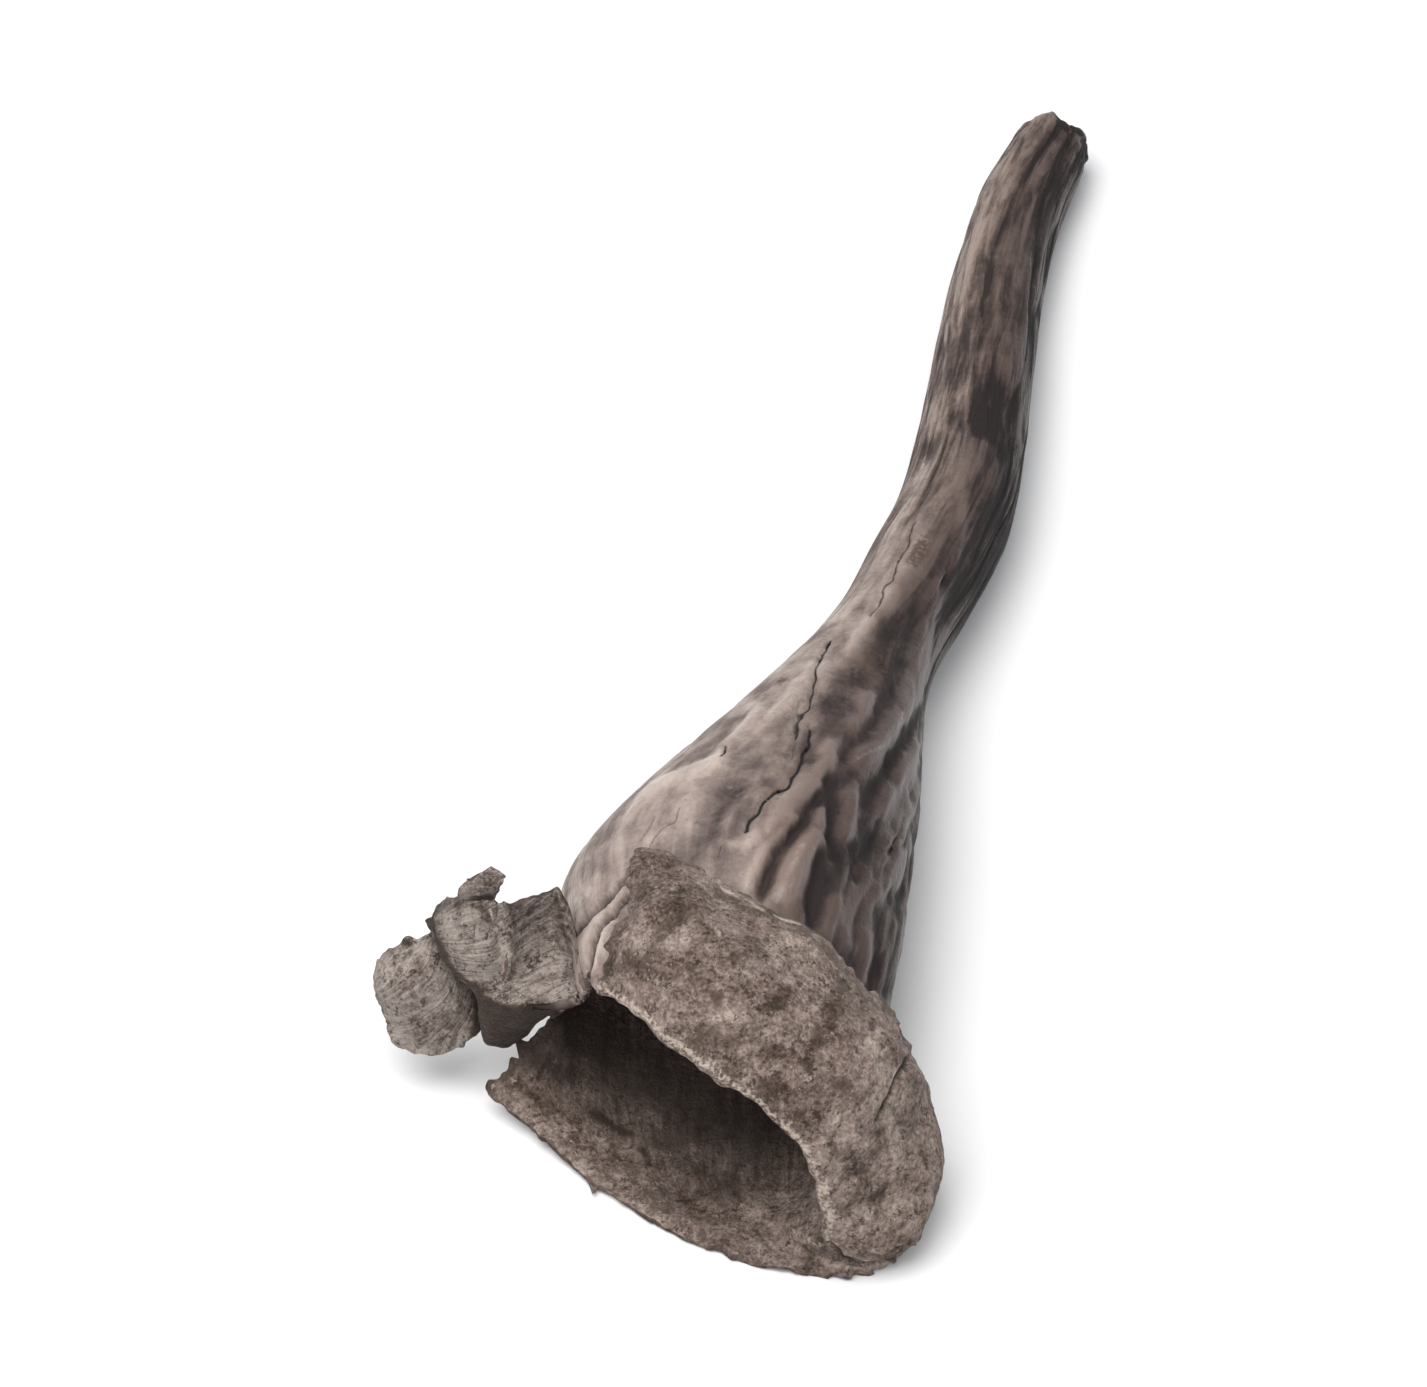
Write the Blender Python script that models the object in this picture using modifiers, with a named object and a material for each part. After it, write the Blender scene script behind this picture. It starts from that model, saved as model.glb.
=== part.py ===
"""Dried black trumpet mushroom, grown in one piece and lying on its side.

The mushroom is one thin leathery wall: a hollow stem that is closed at its root end and opens
into a flattened trumpet. The upper and right part of the rim is folded back over the outside,
the lower part lies flat on the ground as a pointed lip, and on the left a torn strip of the rim
curls away. The mouth faces -Y, the root end lies towards +Y and +Z is up.

The tables are in millimetres. The model itself is in metres.
"""

import bmesh
import bpy
import numpy as np

MM = 0.001

# Thickness of the dried wall and ripple of its margin, in millimetres
WALL = 0.9
MARGIN_RIPPLE = 0.22

# Depth of the lengthwise folds, as a share of the body's radius
FOLD_DEPTH = 0.07

# Mesh of the cage: columns around the rim, rows along the body and beyond the rim
LIP_COLUMNS = 20
STRIP_COLUMNS = 4
BODY_ROWS = 15
LIP_ROWS = 5
STRIP_ROWS = 12
SUBDIVISIONS = 1

# Sections of stem and trumpet from the root end: x, y, z of the middle, half width, half height
BODY_SECTIONS = (
    (21.4, 55.6, 2.3, 1.2, 1.1),
    (20.9, 54.4, 2.3, 2.1, 1.8),
    (19.4, 50.5, 2.4, 2.5, 2.1),
    (17.4, 44.0, 2.7, 2.5, 2.2),
    (15.9, 32.0, 3.4, 2.6, 2.4),
    (14.2, 20.0, 4.1, 2.8, 2.6),
    (12.2, 11.5, 4.7, 3.2, 3.1),
    (9.4, 3.5, 5.4, 4.2, 3.9),
    (6.0, -6.5, 6.5, 6.3, 5.3),
    (2.6, -15.5, 7.3, 8.5, 6.5),
    (0.8, -21.5, 7.5, 9.6, 7.0),
)

# The rim, clockwise from the tear at the upper left as seen from the mouth. Each line has the
# clock angle, the crest where the wall turns outwards, the shoulder of the lip and its margin.
LIP_SECTIONS = (
    (150, (-6.5, -31.5, 13.2), (-6.6, -28.7, 15.2), (-4.1, -23.7, 15.9)),
    (125, (-3.5, -33.6, 13.4), (-2.8, -30.5, 16.6), (-1.6, -24.5, 16.0)),
    (95, (-0.1, -36.8, 12.6), (0.9, -32.7, 16.2), (1.7, -26.5, 15.6)),
    (65, (2.8, -38.1, 11.0), (4.5, -34.6, 15.0), (5.3, -28.4, 14.3)),
    (38, (4.7, -39.0, 9.2), (7.0, -35.9, 13.2), (8.1, -30.1, 12.3)),
    (14, (5.6, -39.3, 6.8), (9.3, -35.7, 10.6), (10.2, -30.9, 9.6)),
    (-6, (5.9, -39.4, 4.8), (11.3, -34.5, 6.8), (10.7, -29.6, 3.8)),
    (-22, (5.9, -39.3, 3.2), (11.6, -36.7, 4.2), (10.8, -32.6, 1.4)),
    (-40, (5.5, -39.0, 2.0), (10.4, -39.0, 2.0), (10.0, -37.0, 0.7)),
    (-62, (4.0, -36.5, 0.8), (6.4, -38.8, 0.5), (7.6, -39.5, 0.4)),
    (-90, (0.3, -32.5, 0.5), (1.7, -36.3, 0.35), (2.5, -39.1, 0.35)),
    (-120, (-4.0, -28.4, 0.5), (-3.2, -32.7, 0.35), (-2.7, -36.2, 0.35)),
    (-143, (-6.9, -25.5, 1.0), (-7.5, -28.7, 0.6), (-8.0, -31.1, 0.5)),
    (-160, (-8.4, -24.7, 4.0), (-10.3, -25.4, 2.4), (-12.8, -27.3, 1.6)),
)

# Where the wall turns outwards into the torn strip: clock angle and crest
STRIP_ROOT = (
    (-178, (-8.2, -24.2, 8.4)),
    (-194, (-7.3, -26.3, 11.2)),
)

# The torn strip from its root to its tip: top margin, face, lower crest and under edge
STRIP_SECTIONS = (
    ((-9.1, -23.3, 12.4), (-9.6, -23.6, 9.6), (-9.1, -26.4, 7.6), (-8.7, -25.1, 4.4)),
    ((-11.3, -24.4, 13.0), (-11.7, -25.4, 10.6), (-11.4, -26.3, 7.2), (-11.1, -25.8, 4.0)),
    ((-13.1, -24.3, 13.2), (-13.5, -26.3, 12.2), (-12.3, -25.9, 7.6), (-12.0, -25.8, 4.6)),
    ((-14.9, -23.8, 11.4), (-14.8, -25.0, 10.2), (-13.1, -23.9, 7.0), (-12.7, -23.3, 4.0)),
    ((-15.0, -22.0, 8.4), (-14.8, -22.2, 6.4), (-12.8, -22.9, 4.2), (-12.5, -22.4, 2.6)),
    ((-16.3, -21.9, 8.0), (-16.3, -23.8, 6.6), (-13.7, -25.0, 3.0), (-13.4, -23.3, 1.6)),
    ((-17.5, -21.8, 7.4), (-17.7, -24.2, 6.2), (-15.6, -25.4, 2.8), (-15.1, -23.9, 1.4)),
    ((-18.1, -22.3, 6.0), (-18.1, -23.7, 5.2), (-17.0, -24.3, 2.8), (-16.5, -23.3, 1.6)),
)

# A small torn flag on the strip's top margin: the row that it grows from and its two steps
FLAG_ROW = 3
FLAG_STEPS = (
    ((-11.9, -24.7, 14.1), (-13.0, -24.6, 14.2)),
    ((-11.2, -25.0, 15.0), (-13.4, -24.6, 15.3)),
)

# Colour and finish of the dried flesh
FLESH_COLOUR = (0.205, 0.162, 0.144, 1.0)
FLESH_ROUGHNESS = 0.75


def spline(points, places):
    """Return the points of a Catmull-Rom spline at the given places, one unit per control point."""
    points = np.asarray(points, float)
    places = np.atleast_1d(np.asarray(places, float))
    start = np.clip(np.floor(places).astype(int), 0, len(points) - 2)
    share = (places - start).reshape((-1,) + (1,) * (points.ndim - 1))
    before = 2.0 * points[:1] - points[1:2]
    after = 2.0 * points[-1:] - points[-2:-1]
    line = np.concatenate([before, points, after])
    a, b, c, d = (line[start + step] for step in range(4))
    return 0.5 * (
        2.0 * b
        + (c - a) * share
        + (2.0 * a - 5.0 * b + 4.0 * c - d) * share**2
        + (3.0 * b - a - 3.0 * c + d) * share**3
    )


def unit(vectors):
    """Return the vectors at length one."""
    return vectors / np.linalg.norm(vectors, axis=-1, keepdims=True)


def rim_places():
    """Return the places of the cage's columns, counted in rim sections."""
    tear = len(LIP_SECTIONS) - 1
    whole = tear + 1 + len(STRIP_ROOT)
    lip = np.linspace(0, tear, LIP_COLUMNS + 1)
    strip = np.linspace(tear, whole, STRIP_COLUMNS + 1)
    return lip, strip


def crest_line(places):
    """Return clock angle, x, y and z of the crest at the given places around the rim."""
    knots = [(angle, *crest) for angle, crest, _, _ in LIP_SECTIONS]
    knots += [(angle, *crest) for angle, crest in STRIP_ROOT]
    knots = np.array(knots, float)
    turn = np.array([360.0, 0.0, 0.0, 0.0])
    laps = np.concatenate([knots + turn, knots, knots - turn])
    return spline(laps, np.asarray(places) + len(knots))


def lengthwise_folds(clock, place):
    """Return the height of the dried wall's lengthwise folds, from -1 to 1."""
    broad = 0.5 * np.sin(3.0 * clock + 0.9 + 0.25 * place)
    middle = 0.3 * np.sin(5.0 * clock - 1.1 - 0.35 * place)
    narrow = 0.2 * np.sin(6.0 * clock + 2.0 + 0.6 * place)
    return broad + middle + narrow


def body_rows(places):
    """Return the rows of points along stem and trumpet, from the root end to the crest."""
    rim = crest_line(places)
    clock = np.radians(rim[:, 0])
    sections = np.array(BODY_SECTIONS)
    ahead = unit(np.gradient(sections[:, :3], axis=0))
    rings = []
    for number, (section, forward) in enumerate(zip(sections, ahead)):
        right = unit(np.cross((0.0, 0.0, 1.0), forward))
        up = unit(np.cross(forward, right))
        fold = 1.0 + FOLD_DEPTH * lengthwise_folds(clock, number)
        width = section[3] * fold * np.cos(clock)
        height = section[4] * fold * np.sin(clock)
        rings.append(section[:3] + width[:, None] * right + height[:, None] * up)
    rings.append(rim[:, 1:])
    return spline(rings, np.linspace(0, len(rings) - 1, BODY_ROWS + 1))


def lip_rows(places, below, crest):
    """Return the rows of the folded lip, each column running over its shoulder to its margin."""
    knots = np.array([(*shoulder, *margin) for _, _, shoulder, margin in LIP_SECTIONS])
    shoulder, margin = np.split(spline(knots, places), 2, axis=1)
    ripple = MARGIN_RIPPLE * (np.sin(2.3 * places + 0.6) + 0.6 * np.sin(3.7 * places + 2.1))
    margin = margin + ripple[:, None] * unit(margin - shoulder)
    rise = unit(crest - below)
    rise[:, 2] = np.where(crest[:, 2] < 2.5, 0.0, rise[:, 2])
    rise = unit(rise)
    first = np.linalg.norm(shoulder - crest, axis=1, keepdims=True)
    second = np.linalg.norm(margin - shoulder, axis=1, keepdims=True)
    over = unit((shoulder - crest) / first + (margin - shoulder) / second)
    end = 1.2 * (margin - shoulder) - 0.4 * second * over
    rows = []
    for step in range(1, LIP_ROWS + 1):
        share = 2.0 * step / LIP_ROWS
        if share <= 1.0:
            rows.append(hermite(crest, 0.9 * first * rise, shoulder, first * over, share))
        else:
            rows.append(hermite(shoulder, second * over, margin, end, share - 1.0))
    return rows


def hermite(start, start_pull, end, end_pull, share):
    """Return the point at the given share of a cubic curve between two points."""
    square, cube = share**2, share**3
    return (
        (2.0 * cube - 3.0 * square + 1.0) * start
        + (cube - 2.0 * square + share) * start_pull
        + (3.0 * square - 2.0 * cube) * end
        + (cube - square) * end_pull
    )


def strip_rows(below, crest):
    """Return the rows of the torn strip, from its root in the rim to its curled tip."""
    across = np.linspace(len(STRIP_SECTIONS[0]) - 1, 0, STRIP_COLUMNS + 1)
    stations = [spline(section, across) for section in STRIP_SECTIONS]
    stations = [below, crest, *stations]
    return spline(stations, np.linspace(1, len(stations) - 1, STRIP_ROWS + 1))[1:]


def pull_row(cage, row, targets, closed=False):
    """Extrude a row of vertices to its target points and return the new row."""
    following = row[1:] + row[:1] if closed else row[1:]
    edges = [cage.edges.get(pair) for pair in zip(row, following)]
    made = bmesh.ops.extrude_edge_only(cage, edges=edges)["geom"]
    fresh = {item for item in made if isinstance(item, bmesh.types.BMVert)}
    pulled = []
    for vertex, target in zip(row, targets):
        end = next(e.other_vert(vertex) for e in vertex.link_edges if e.other_vert(vertex) in fresh)
        end.co = np.asarray(target) * MM
        pulled.append(end)
    return pulled


def build_cage():
    """Draw the mushroom's wall as an open cage, row by row from the root end."""
    lip_places, strip_places = rim_places()
    around = np.concatenate([lip_places, strip_places[1:-1]])
    rows = body_rows(around)
    cage = bmesh.new()
    ring = bmesh.ops.create_circle(cage, cap_ends=True, radius=MM, segments=len(around))["verts"]
    for vertex, target in zip(ring, rows[0]):
        vertex.co = target * MM
    for targets in rows[1:]:
        ring = pull_row(cage, ring, targets, closed=True)
    tear = LIP_COLUMNS

    lip = ring[: tear + 1]
    below, crest = rows[-2][: tear + 1], rows[-1][: tear + 1]
    for targets in lip_rows(lip_places, below, crest):
        lip = pull_row(cage, lip, targets)

    strip = ring[tear:] + ring[:1]
    below = np.concatenate([rows[-2][tear:], rows[-2][:1]])
    crest = np.concatenate([rows[-1][tear:], rows[-1][:1]])
    top_margin = []
    for targets in strip_rows(below, crest):
        strip = pull_row(cage, strip, targets)
        top_margin.append(strip[-1])

    flag = top_margin[FLAG_ROW : FLAG_ROW + 2]
    for targets in FLAG_STEPS:
        flag = pull_row(cage, flag, targets)
    return cage


def flesh_material():
    """Return the material of the dried flesh."""
    material = bpy.data.materials.new("dried_flesh")
    material.use_nodes = True
    shader = material.node_tree.nodes["Principled BSDF"]
    shader.inputs["Base Color"].default_value = FLESH_COLOUR
    shader.inputs["Roughness"].default_value = FLESH_ROUGHNESS
    shader.inputs["Metallic"].default_value = 0.0
    return material


def rest_on_floor(mesh):
    """Press the underside flat where it rests, and centre the mushroom over the origin."""
    for vertex in mesh.vertices:
        vertex.co.z = max(vertex.co.z, 0.0)
    points = np.array([vertex.co for vertex in mesh.vertices])
    middle = (points.min(axis=0) + points.max(axis=0)) / 2.0
    for vertex in mesh.vertices:
        vertex.co.x -= middle[0]
        vertex.co.y -= middle[1]


def build_mushroom(collection):
    """Make the mushroom: a smoothed cage with the thickness of the dried wall."""
    mesh = bpy.data.meshes.new("mushroom")
    cage = build_cage()
    bmesh.ops.recalc_face_normals(cage, faces=cage.faces)
    cage.to_mesh(mesh)
    cage.free()
    mushroom = bpy.data.objects.new("mushroom", mesh)
    collection.objects.link(mushroom)

    smooth = mushroom.modifiers.new("smooth form", "SUBSURF")
    smooth.levels = SUBDIVISIONS
    smooth.render_levels = SUBDIVISIONS
    wall = mushroom.modifiers.new("wall", "SOLIDIFY")
    wall.thickness = WALL * MM
    wall.offset = 0.0

    graph = bpy.context.evaluated_depsgraph_get()
    shaped = bpy.data.meshes.new_from_object(mushroom.evaluated_get(graph))
    mushroom.modifiers.clear()
    mushroom.data = shaped
    rest_on_floor(shaped)
    shaped.materials.clear()
    shaped.materials.append(flesh_material())
    shaped.shade_smooth()
    return mushroom


def main():
    """Clear the scene and build the mushroom in its own collection."""
    for thing in list(bpy.data.objects):
        bpy.data.objects.remove(thing)
    collection = bpy.data.collections.new("dried_black_trumpet")
    bpy.context.scene.collection.children.link(collection)
    build_mushroom(collection)


main()
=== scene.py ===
"""Looks of a dried black trumpet mushroom that lies on its side with its open mouth to the front.

The wall of the mushroom is drawn as one open cage, ring by ring from the root end of the stem to
the crest of the rim, and on from there as the folded lip and the torn strip. The cage is smoothed,
given its thickness, and its two sides are then worked like clay: wrinkles and blisters outside,
suede inside, ragged torn edges. All lengths here are in millimetres, where a docstring or comment
doesn't name metres, and the model itself is in metres.
"""

import heapq
import logging
import math
from collections.abc import Iterable
from dataclasses import dataclass, field
from enum import Enum

import bmesh
import bpy
import numpy as np
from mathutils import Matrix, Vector, noise


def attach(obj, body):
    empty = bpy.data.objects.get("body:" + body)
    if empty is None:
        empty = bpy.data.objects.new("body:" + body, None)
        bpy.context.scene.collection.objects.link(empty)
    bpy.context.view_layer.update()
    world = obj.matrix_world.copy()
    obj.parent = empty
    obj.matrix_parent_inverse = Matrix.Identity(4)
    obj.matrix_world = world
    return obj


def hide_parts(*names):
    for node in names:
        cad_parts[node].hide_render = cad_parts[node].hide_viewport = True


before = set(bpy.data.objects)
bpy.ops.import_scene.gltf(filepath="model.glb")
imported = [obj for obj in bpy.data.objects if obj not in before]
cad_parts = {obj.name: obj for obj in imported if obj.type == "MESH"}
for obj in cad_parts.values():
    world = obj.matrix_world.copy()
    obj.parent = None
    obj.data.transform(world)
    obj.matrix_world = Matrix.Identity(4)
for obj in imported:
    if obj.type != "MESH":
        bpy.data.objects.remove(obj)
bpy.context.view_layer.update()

LOG = logging.getLogger("dried_mushroom")
MM = 0.001
NODE = "mushroom"

Point = tuple[float, float, float]
Span = tuple[float, float]
Colour = tuple[float, float, float, float]
Array = np.ndarray
Piece = bpy.types.Object
Socket = bpy.types.NodeSocket


class Patch(Enum):
    """The stretches of the wall, as numbers on the cage's points."""

    BODY = 0
    LIP = 1
    STRIP = 2
    FLAG = 3


# Between which numbers of patch a point turns from the lip's to the torn strip's
STRIP_SPAN = (1.4, 1.9)


def unit(vectors: Array) -> Array:
    """Return the vectors at length one."""
    return vectors / np.maximum(np.linalg.norm(vectors, axis=-1, keepdims=True), 1e-12)


def ramp(values: Array, low: float, high: float) -> Array:
    """Return a smooth step from zero at low to one at high."""
    share = np.clip((values - low) / (high - low), 0.0, 1.0)
    return share * share * (3.0 - 2.0 * share)


def fade(away: Array, width: Array | float) -> Array:
    """Return one where away is zero, and softly less to both sides of it, near zero at two widths."""
    return np.exp(-((away / width) ** 2))


def at_least(least: float, share: Array) -> Array:
    """Return a share from 0 to 1 as one that starts at the given least instead."""
    return least + (1.0 - least) * share


def spline(points: Array, places: Array) -> Array:
    """Read a Catmull-Rom spline.

    Args:
        points: The control points, one after the other.
        places: Where to read it, one unit from one control point to the next.

    Returns:
        The points of the spline at the places.
    """
    points = np.asarray(points, float)
    places = np.atleast_1d(np.asarray(places, float))
    start = np.clip(np.floor(places).astype(int), 0, len(points) - 2)
    share = (places - start).reshape((-1,) + (1,) * (points.ndim - 1))
    before = 2.0 * points[:1] - points[1:2]
    after = 2.0 * points[-1:] - points[-2:-1]
    line = np.concatenate([before, points, after])
    a, b, c, d = (line[start + step] for step in range(4))
    return 0.5 * (
        2.0 * b
        + (c - a) * share
        + (2.0 * a - 5.0 * b + 4.0 * c - d) * share**2
        + (3.0 * b - a - 3.0 * c + d) * share**3
    )


def hermite(start: Array, pull: Array, end: Array, end_pull: Array, share: float) -> Array:
    """Return the point at the given share of a cubic curve.

    Args:
        start: Where the curve starts.
        pull: Its direction and strength at the start.
        end: Where it ends.
        end_pull: Its direction and strength at the end.
        share: From zero at the start to one at the end.

    Returns:
        The point on the curve.
    """
    square, cube = share**2, share**3
    return (
        (2.0 * cube - 3.0 * square + 1.0) * start
        + (cube - 2.0 * square + share) * pull
        + (3.0 * square - 2.0 * cube) * end
        + (cube - square) * end_pull
    )


@dataclass(frozen=True)
class DrawingPlane:
    """The plane that marks are drawn on, tilted as the viewer looks down at the mouth."""

    tilt: float = 42.0
    distance: float = 450.0
    target: Point = (0.0, 0.0, 6.0)

    # The least share that a surface counts as facing the viewer when a move is laid on it
    grazing: float = 0.2

    def towards(self) -> Array:
        """Return the direction from the target to the viewer."""
        angle = math.radians(self.tilt)
        return np.array([0.0, -math.cos(angle), math.sin(angle)])

    def upwards(self) -> Array:
        """Return the direction that is up on the plane."""
        angle = math.radians(self.tilt)
        return np.array([0.0, math.sin(angle), math.cos(angle)])

    def flatten(self, points: Array) -> Array:
        """Return where points are on the plane.

        Args:
            points: The points.

        Returns:
            Right and up from the target for each point.
        """
        offset = points - np.array(self.target)
        nearness = self.distance / (self.distance - offset @ self.towards())
        return np.stack([offset[:, 0] * nearness, (offset @ self.upwards()) * nearness], axis=1)

    def lift(self, marks: Array) -> Array:
        """Return the points in space that lie behind marks on the plane.

        Args:
            marks: Right, up and towards the viewer for each mark.

        Returns:
            The points.
        """
        marks = np.asarray(marks, float)
        nearness = self.distance / (self.distance - marks[..., 2:])
        flat = marks[..., :2] / nearness
        across = flat[..., :1] * np.array([1.0, 0.0, 0.0]) + flat[..., 1:] * self.upwards()
        return np.array(self.target) + across + marks[..., 2:] * self.towards()

    def shift(self, moves: Array, normals: Array) -> Array:
        """Turn moves on the plane into moves along the surface.

        Args:
            moves: Right and up for each point.
            normals: The surface's normals there.

        Returns:
            The moves in space, each square to its normal.
        """
        flat = moves[:, :1] * np.array([[1.0, 0.0, 0.0]]) + moves[:, 1:] * self.upwards()
        facing = normals @ self.towards()
        facing = np.where(np.abs(facing) < self.grazing, self.grazing, facing)
        return flat - ((flat * normals).sum(axis=1) / facing)[:, None] * self.towards()


@dataclass
class TrumpetForm:
    """The main form of the wall's middle surface, and its rows of points."""

    lip_columns: int = 20
    strip_columns: int = 8
    stem_rows: int = 6
    flare_rows: int = 14
    lip_row_count: int = 6
    strip_row_count: int = 19
    stem_sections: int = 5
    rib_row: int = 6
    turn_row: int = 12
    hem_column: int = 2
    turn_share: float = 1.0 / 15.0
    fold_depth: float = 0.07
    margin_ripple: float = 0.22
    roll: float = 0.55
    margin_pull: float = 1.2
    shoulder_lag: float = 0.4
    low_crest: float = 2.5
    plane: DrawingPlane = field(default_factory=DrawingPlane)

    # Waves of the lip's margin: strength, waves a place and start
    margin_waves: tuple = ((1.0, 2.3, 0.6), (0.6, 3.7, 2.1))

    # Broad lengthwise folds: strength, folds all around, start and drift from section to section
    fold_waves: tuple = ((0.5, 3.0, 0.9, 0.25), (0.3, 5.0, -1.1, -0.35), (0.2, 6.0, 2.0, 0.6))

    # Sections from the root end: x, y, z of the middle, half width, half height
    body_sections: tuple = (
        (21.4, 55.6, 2.3, 1.2, 1.1),
        (20.9, 54.4, 2.3, 2.1, 1.8),
        (19.4, 50.5, 2.4, 2.5, 2.1),
        (17.4, 44.0, 2.7, 2.5, 2.2),
        (16.0, 32.0, 3.4, 2.75, 2.4),
        (14.5, 20.0, 4.1, 3.2, 2.7),
        (11.8, 11.5, 4.7, 3.30, 3.1),
        (8.95, 3.5, 5.4, 3.05, 3.7),
        (5.8, -6.5, 6.5, 5.65, 5.2),
        (2.35, -15.5, 7.3, 8.2, 6.5),
        (0.5, -21.5, 7.5, 9.3, 7.0),
    )

    # The rim from the tear at the upper left: clock angle, then crest, shoulder and margin
    lip_sections: tuple = (
        (150, (-6.1, -31.4, 13.2), (-5.3, -28.5, 15.1), (-4.3, -23.7, 16.0)),
        (125, (-3.5, -33.6, 13.4), (-2.8, -30.5, 16.6), (-1.6, -24.5, 16.0)),
        (95, (-0.1, -36.8, 12.6), (0.9, -32.7, 16.2), (1.7, -26.5, 15.6)),
        (65, (2.8, -38.1, 11.0), (4.5, -34.6, 15.0), (5.3, -28.4, 14.3)),
        (38, (4.7, -39.0, 9.2), (7.0, -35.9, 13.2), (8.1, -30.1, 12.3)),
        (14, (5.6, -39.3, 6.8), (9.3, -35.7, 10.6), (10.2, -30.9, 9.6)),
        (-6, (5.9, -39.4, 4.8), (11.3, -34.5, 6.8), (10.7, -29.6, 3.8)),
        (-22, (5.9, -39.3, 3.2), (11.6, -36.7, 4.2), (10.8, -32.6, 1.4)),
        (-40, (5.5, -39.0, 2.0), (10.5, -39.3, 1.9), (10.3, -37.2, 0.6)),
        (-62, (4.0, -36.5, 0.8), (6.5, -38.95, 0.5), (7.8, -39.85, 0.35)),
        (-90, (0.3, -32.5, 0.5), (1.8, -36.4, 0.35), (2.6, -39.15, 0.35)),
        (-120, (-4.0, -28.4, 0.5), (-3.2, -32.7, 0.35), (-2.7, -36.2, 0.35)),
        (-143, (-6.9, -25.5, 1.0), (-7.5, -28.7, 0.6), (-8.0, -31.1, 0.5)),
        (-160, (-8.8, -24.5, 4.7), (-10.6, -25.4, 3.0), (-12.8, -27.3, 1.6)),
    )

    # Where the wall turns outwards into the torn strip: clock angle and crest
    strip_root: tuple = (
        (-178, (-6.9, -27.8, 8.8)),
        (-194, (-6.4, -29.7, 11.2)),
    )

    # The torn strip from root to tip, as marks on the drawing plane (right, up, towards the
    # viewer): top margin, upper face, middle, lower crest and under edge
    strip_sections: tuple = (
        ((-7.47, -14.33, 22.0), (-7.39, -15.19, 21.8), (-7.34, -16.04, 21.9),
         (-7.50, -17.12, 22.0), (-9.10, -17.55, 17.6)),
        ((-8.10, -12.97, 21.6), (-7.99, -14.33, 20.9), (-7.91, -15.76, 21.0),
         (-8.06, -17.38, 21.6), (-9.20, -17.58, 17.7)),
        ((-8.77, -10.55, 21.6), (-8.67, -12.94, 20.2), (-8.59, -15.04, 20.0),
         (-8.66, -17.55, 21.3), (-9.35, -17.62, 17.7)),
        ((-9.70, -11.33, 21.8), (-9.63, -13.04, 20.2), (-9.53, -15.04, 20.0),
         (-9.49, -17.64, 21.2), (-9.62, -17.80, 17.6)),
        ((-10.56, -11.80, 22.0), (-10.49, -13.19, 20.4), (-10.41, -15.04, 20.2),
         (-10.41, -17.62, 21.0), (-10.10, -18.20, 17.3)),
        ((-11.24, -11.96, 22.0), (-11.13, -13.19, 20.9), (-11.13, -15.04, 20.6),
         (-11.24, -17.56, 20.8), (-10.70, -18.85, 17.2)),
        ((-11.91, -11.73, 22.4), (-11.79, -13.04, 22.1), (-11.44, -14.90, 21.7),
         (-11.99, -17.33, 20.6), (-11.41, -19.44, 17.2)),
        ((-12.30, -11.69, 21.7), (-12.21, -13.19, 21.1), (-11.91, -15.04, 20.9),
         (-12.44, -17.09, 20.5), (-12.06, -19.69, 17.3)),
        ((-12.99, -11.53, 22.2), (-12.91, -13.04, 22.0), (-12.70, -14.90, 21.6),
         (-12.96, -16.85, 20.6), (-12.72, -19.15, 17.0)),
        ((-13.77, -11.44, 21.7), (-13.77, -12.90, 21.9), (-13.63, -14.61, 21.4),
         (-13.53, -16.45, 20.5), (-12.62, -17.35, 18.2)),
        ((-14.63, -11.44, 20.8), (-14.61, -12.61, 21.0), (-14.50, -14.19, 20.8),
         (-14.16, -15.92, 20.0), (-13.30, -16.45, 18.7)),
        ((-15.70, -11.97, 19.4), (-15.67, -12.61, 19.8), (-15.47, -13.54, 19.7),
         (-14.84, -15.05, 19.3), (-13.90, -15.70, 18.3)),
        ((-16.13, -12.64, 18.4), (-15.84, -13.01, 18.6), (-15.39, -13.83, 18.4),
         (-14.70, -15.11, 18.2), (-13.77, -16.33, 17.4)),
        ((-15.56, -13.19, 17.6), (-14.99, -13.90, 17.7), (-14.27, -15.04, 17.6),
         (-13.40, -16.60, 17.3), (-12.60, -17.60, 16.8)),
        ((-16.27, -13.66, 17.9), (-15.77, -15.04, 18.5), (-15.06, -16.47, 18.6),
         (-14.10, -17.76, 18.2), (-13.00, -18.98, 17.2)),
        ((-16.96, -13.73, 17.7), (-16.63, -15.33, 18.7), (-15.99, -17.04, 18.8),
         (-15.27, -18.47, 18.2), (-14.39, -19.76, 17.0)),
        ((-17.63, -13.87, 17.4), (-17.49, -15.47, 18.3), (-17.06, -17.33, 18.5),
         (-16.49, -18.76, 17.9), (-15.63, -20.19, 16.7)),
        ((-18.39, -14.33, 16.8), (-18.39, -15.76, 17.6), (-18.10, -17.33, 17.8),
         (-17.59, -18.69, 17.3), (-16.84, -20.01, 16.4)),
        ((-18.90, -14.97, 16.2), (-19.01, -15.90, 16.7), (-18.96, -16.97, 16.9),
         (-18.59, -18.19, 16.6), (-17.81, -19.44, 15.9)),
    )

    # The torn flag on the strip's top margin: the rows that it grows from and its two steps
    flag_rows: tuple[int, int] = (7, 10)
    flag_steps: tuple = (
        ((-11.88, -11.00, 22.4), (-12.98, -10.80, 22.6), (-14.55, -11.00, 22.0)),
        ((-11.62, -10.24, 22.7), (-12.45, -9.72, 23.0), (-13.75, -10.45, 22.5)),
    )

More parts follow.
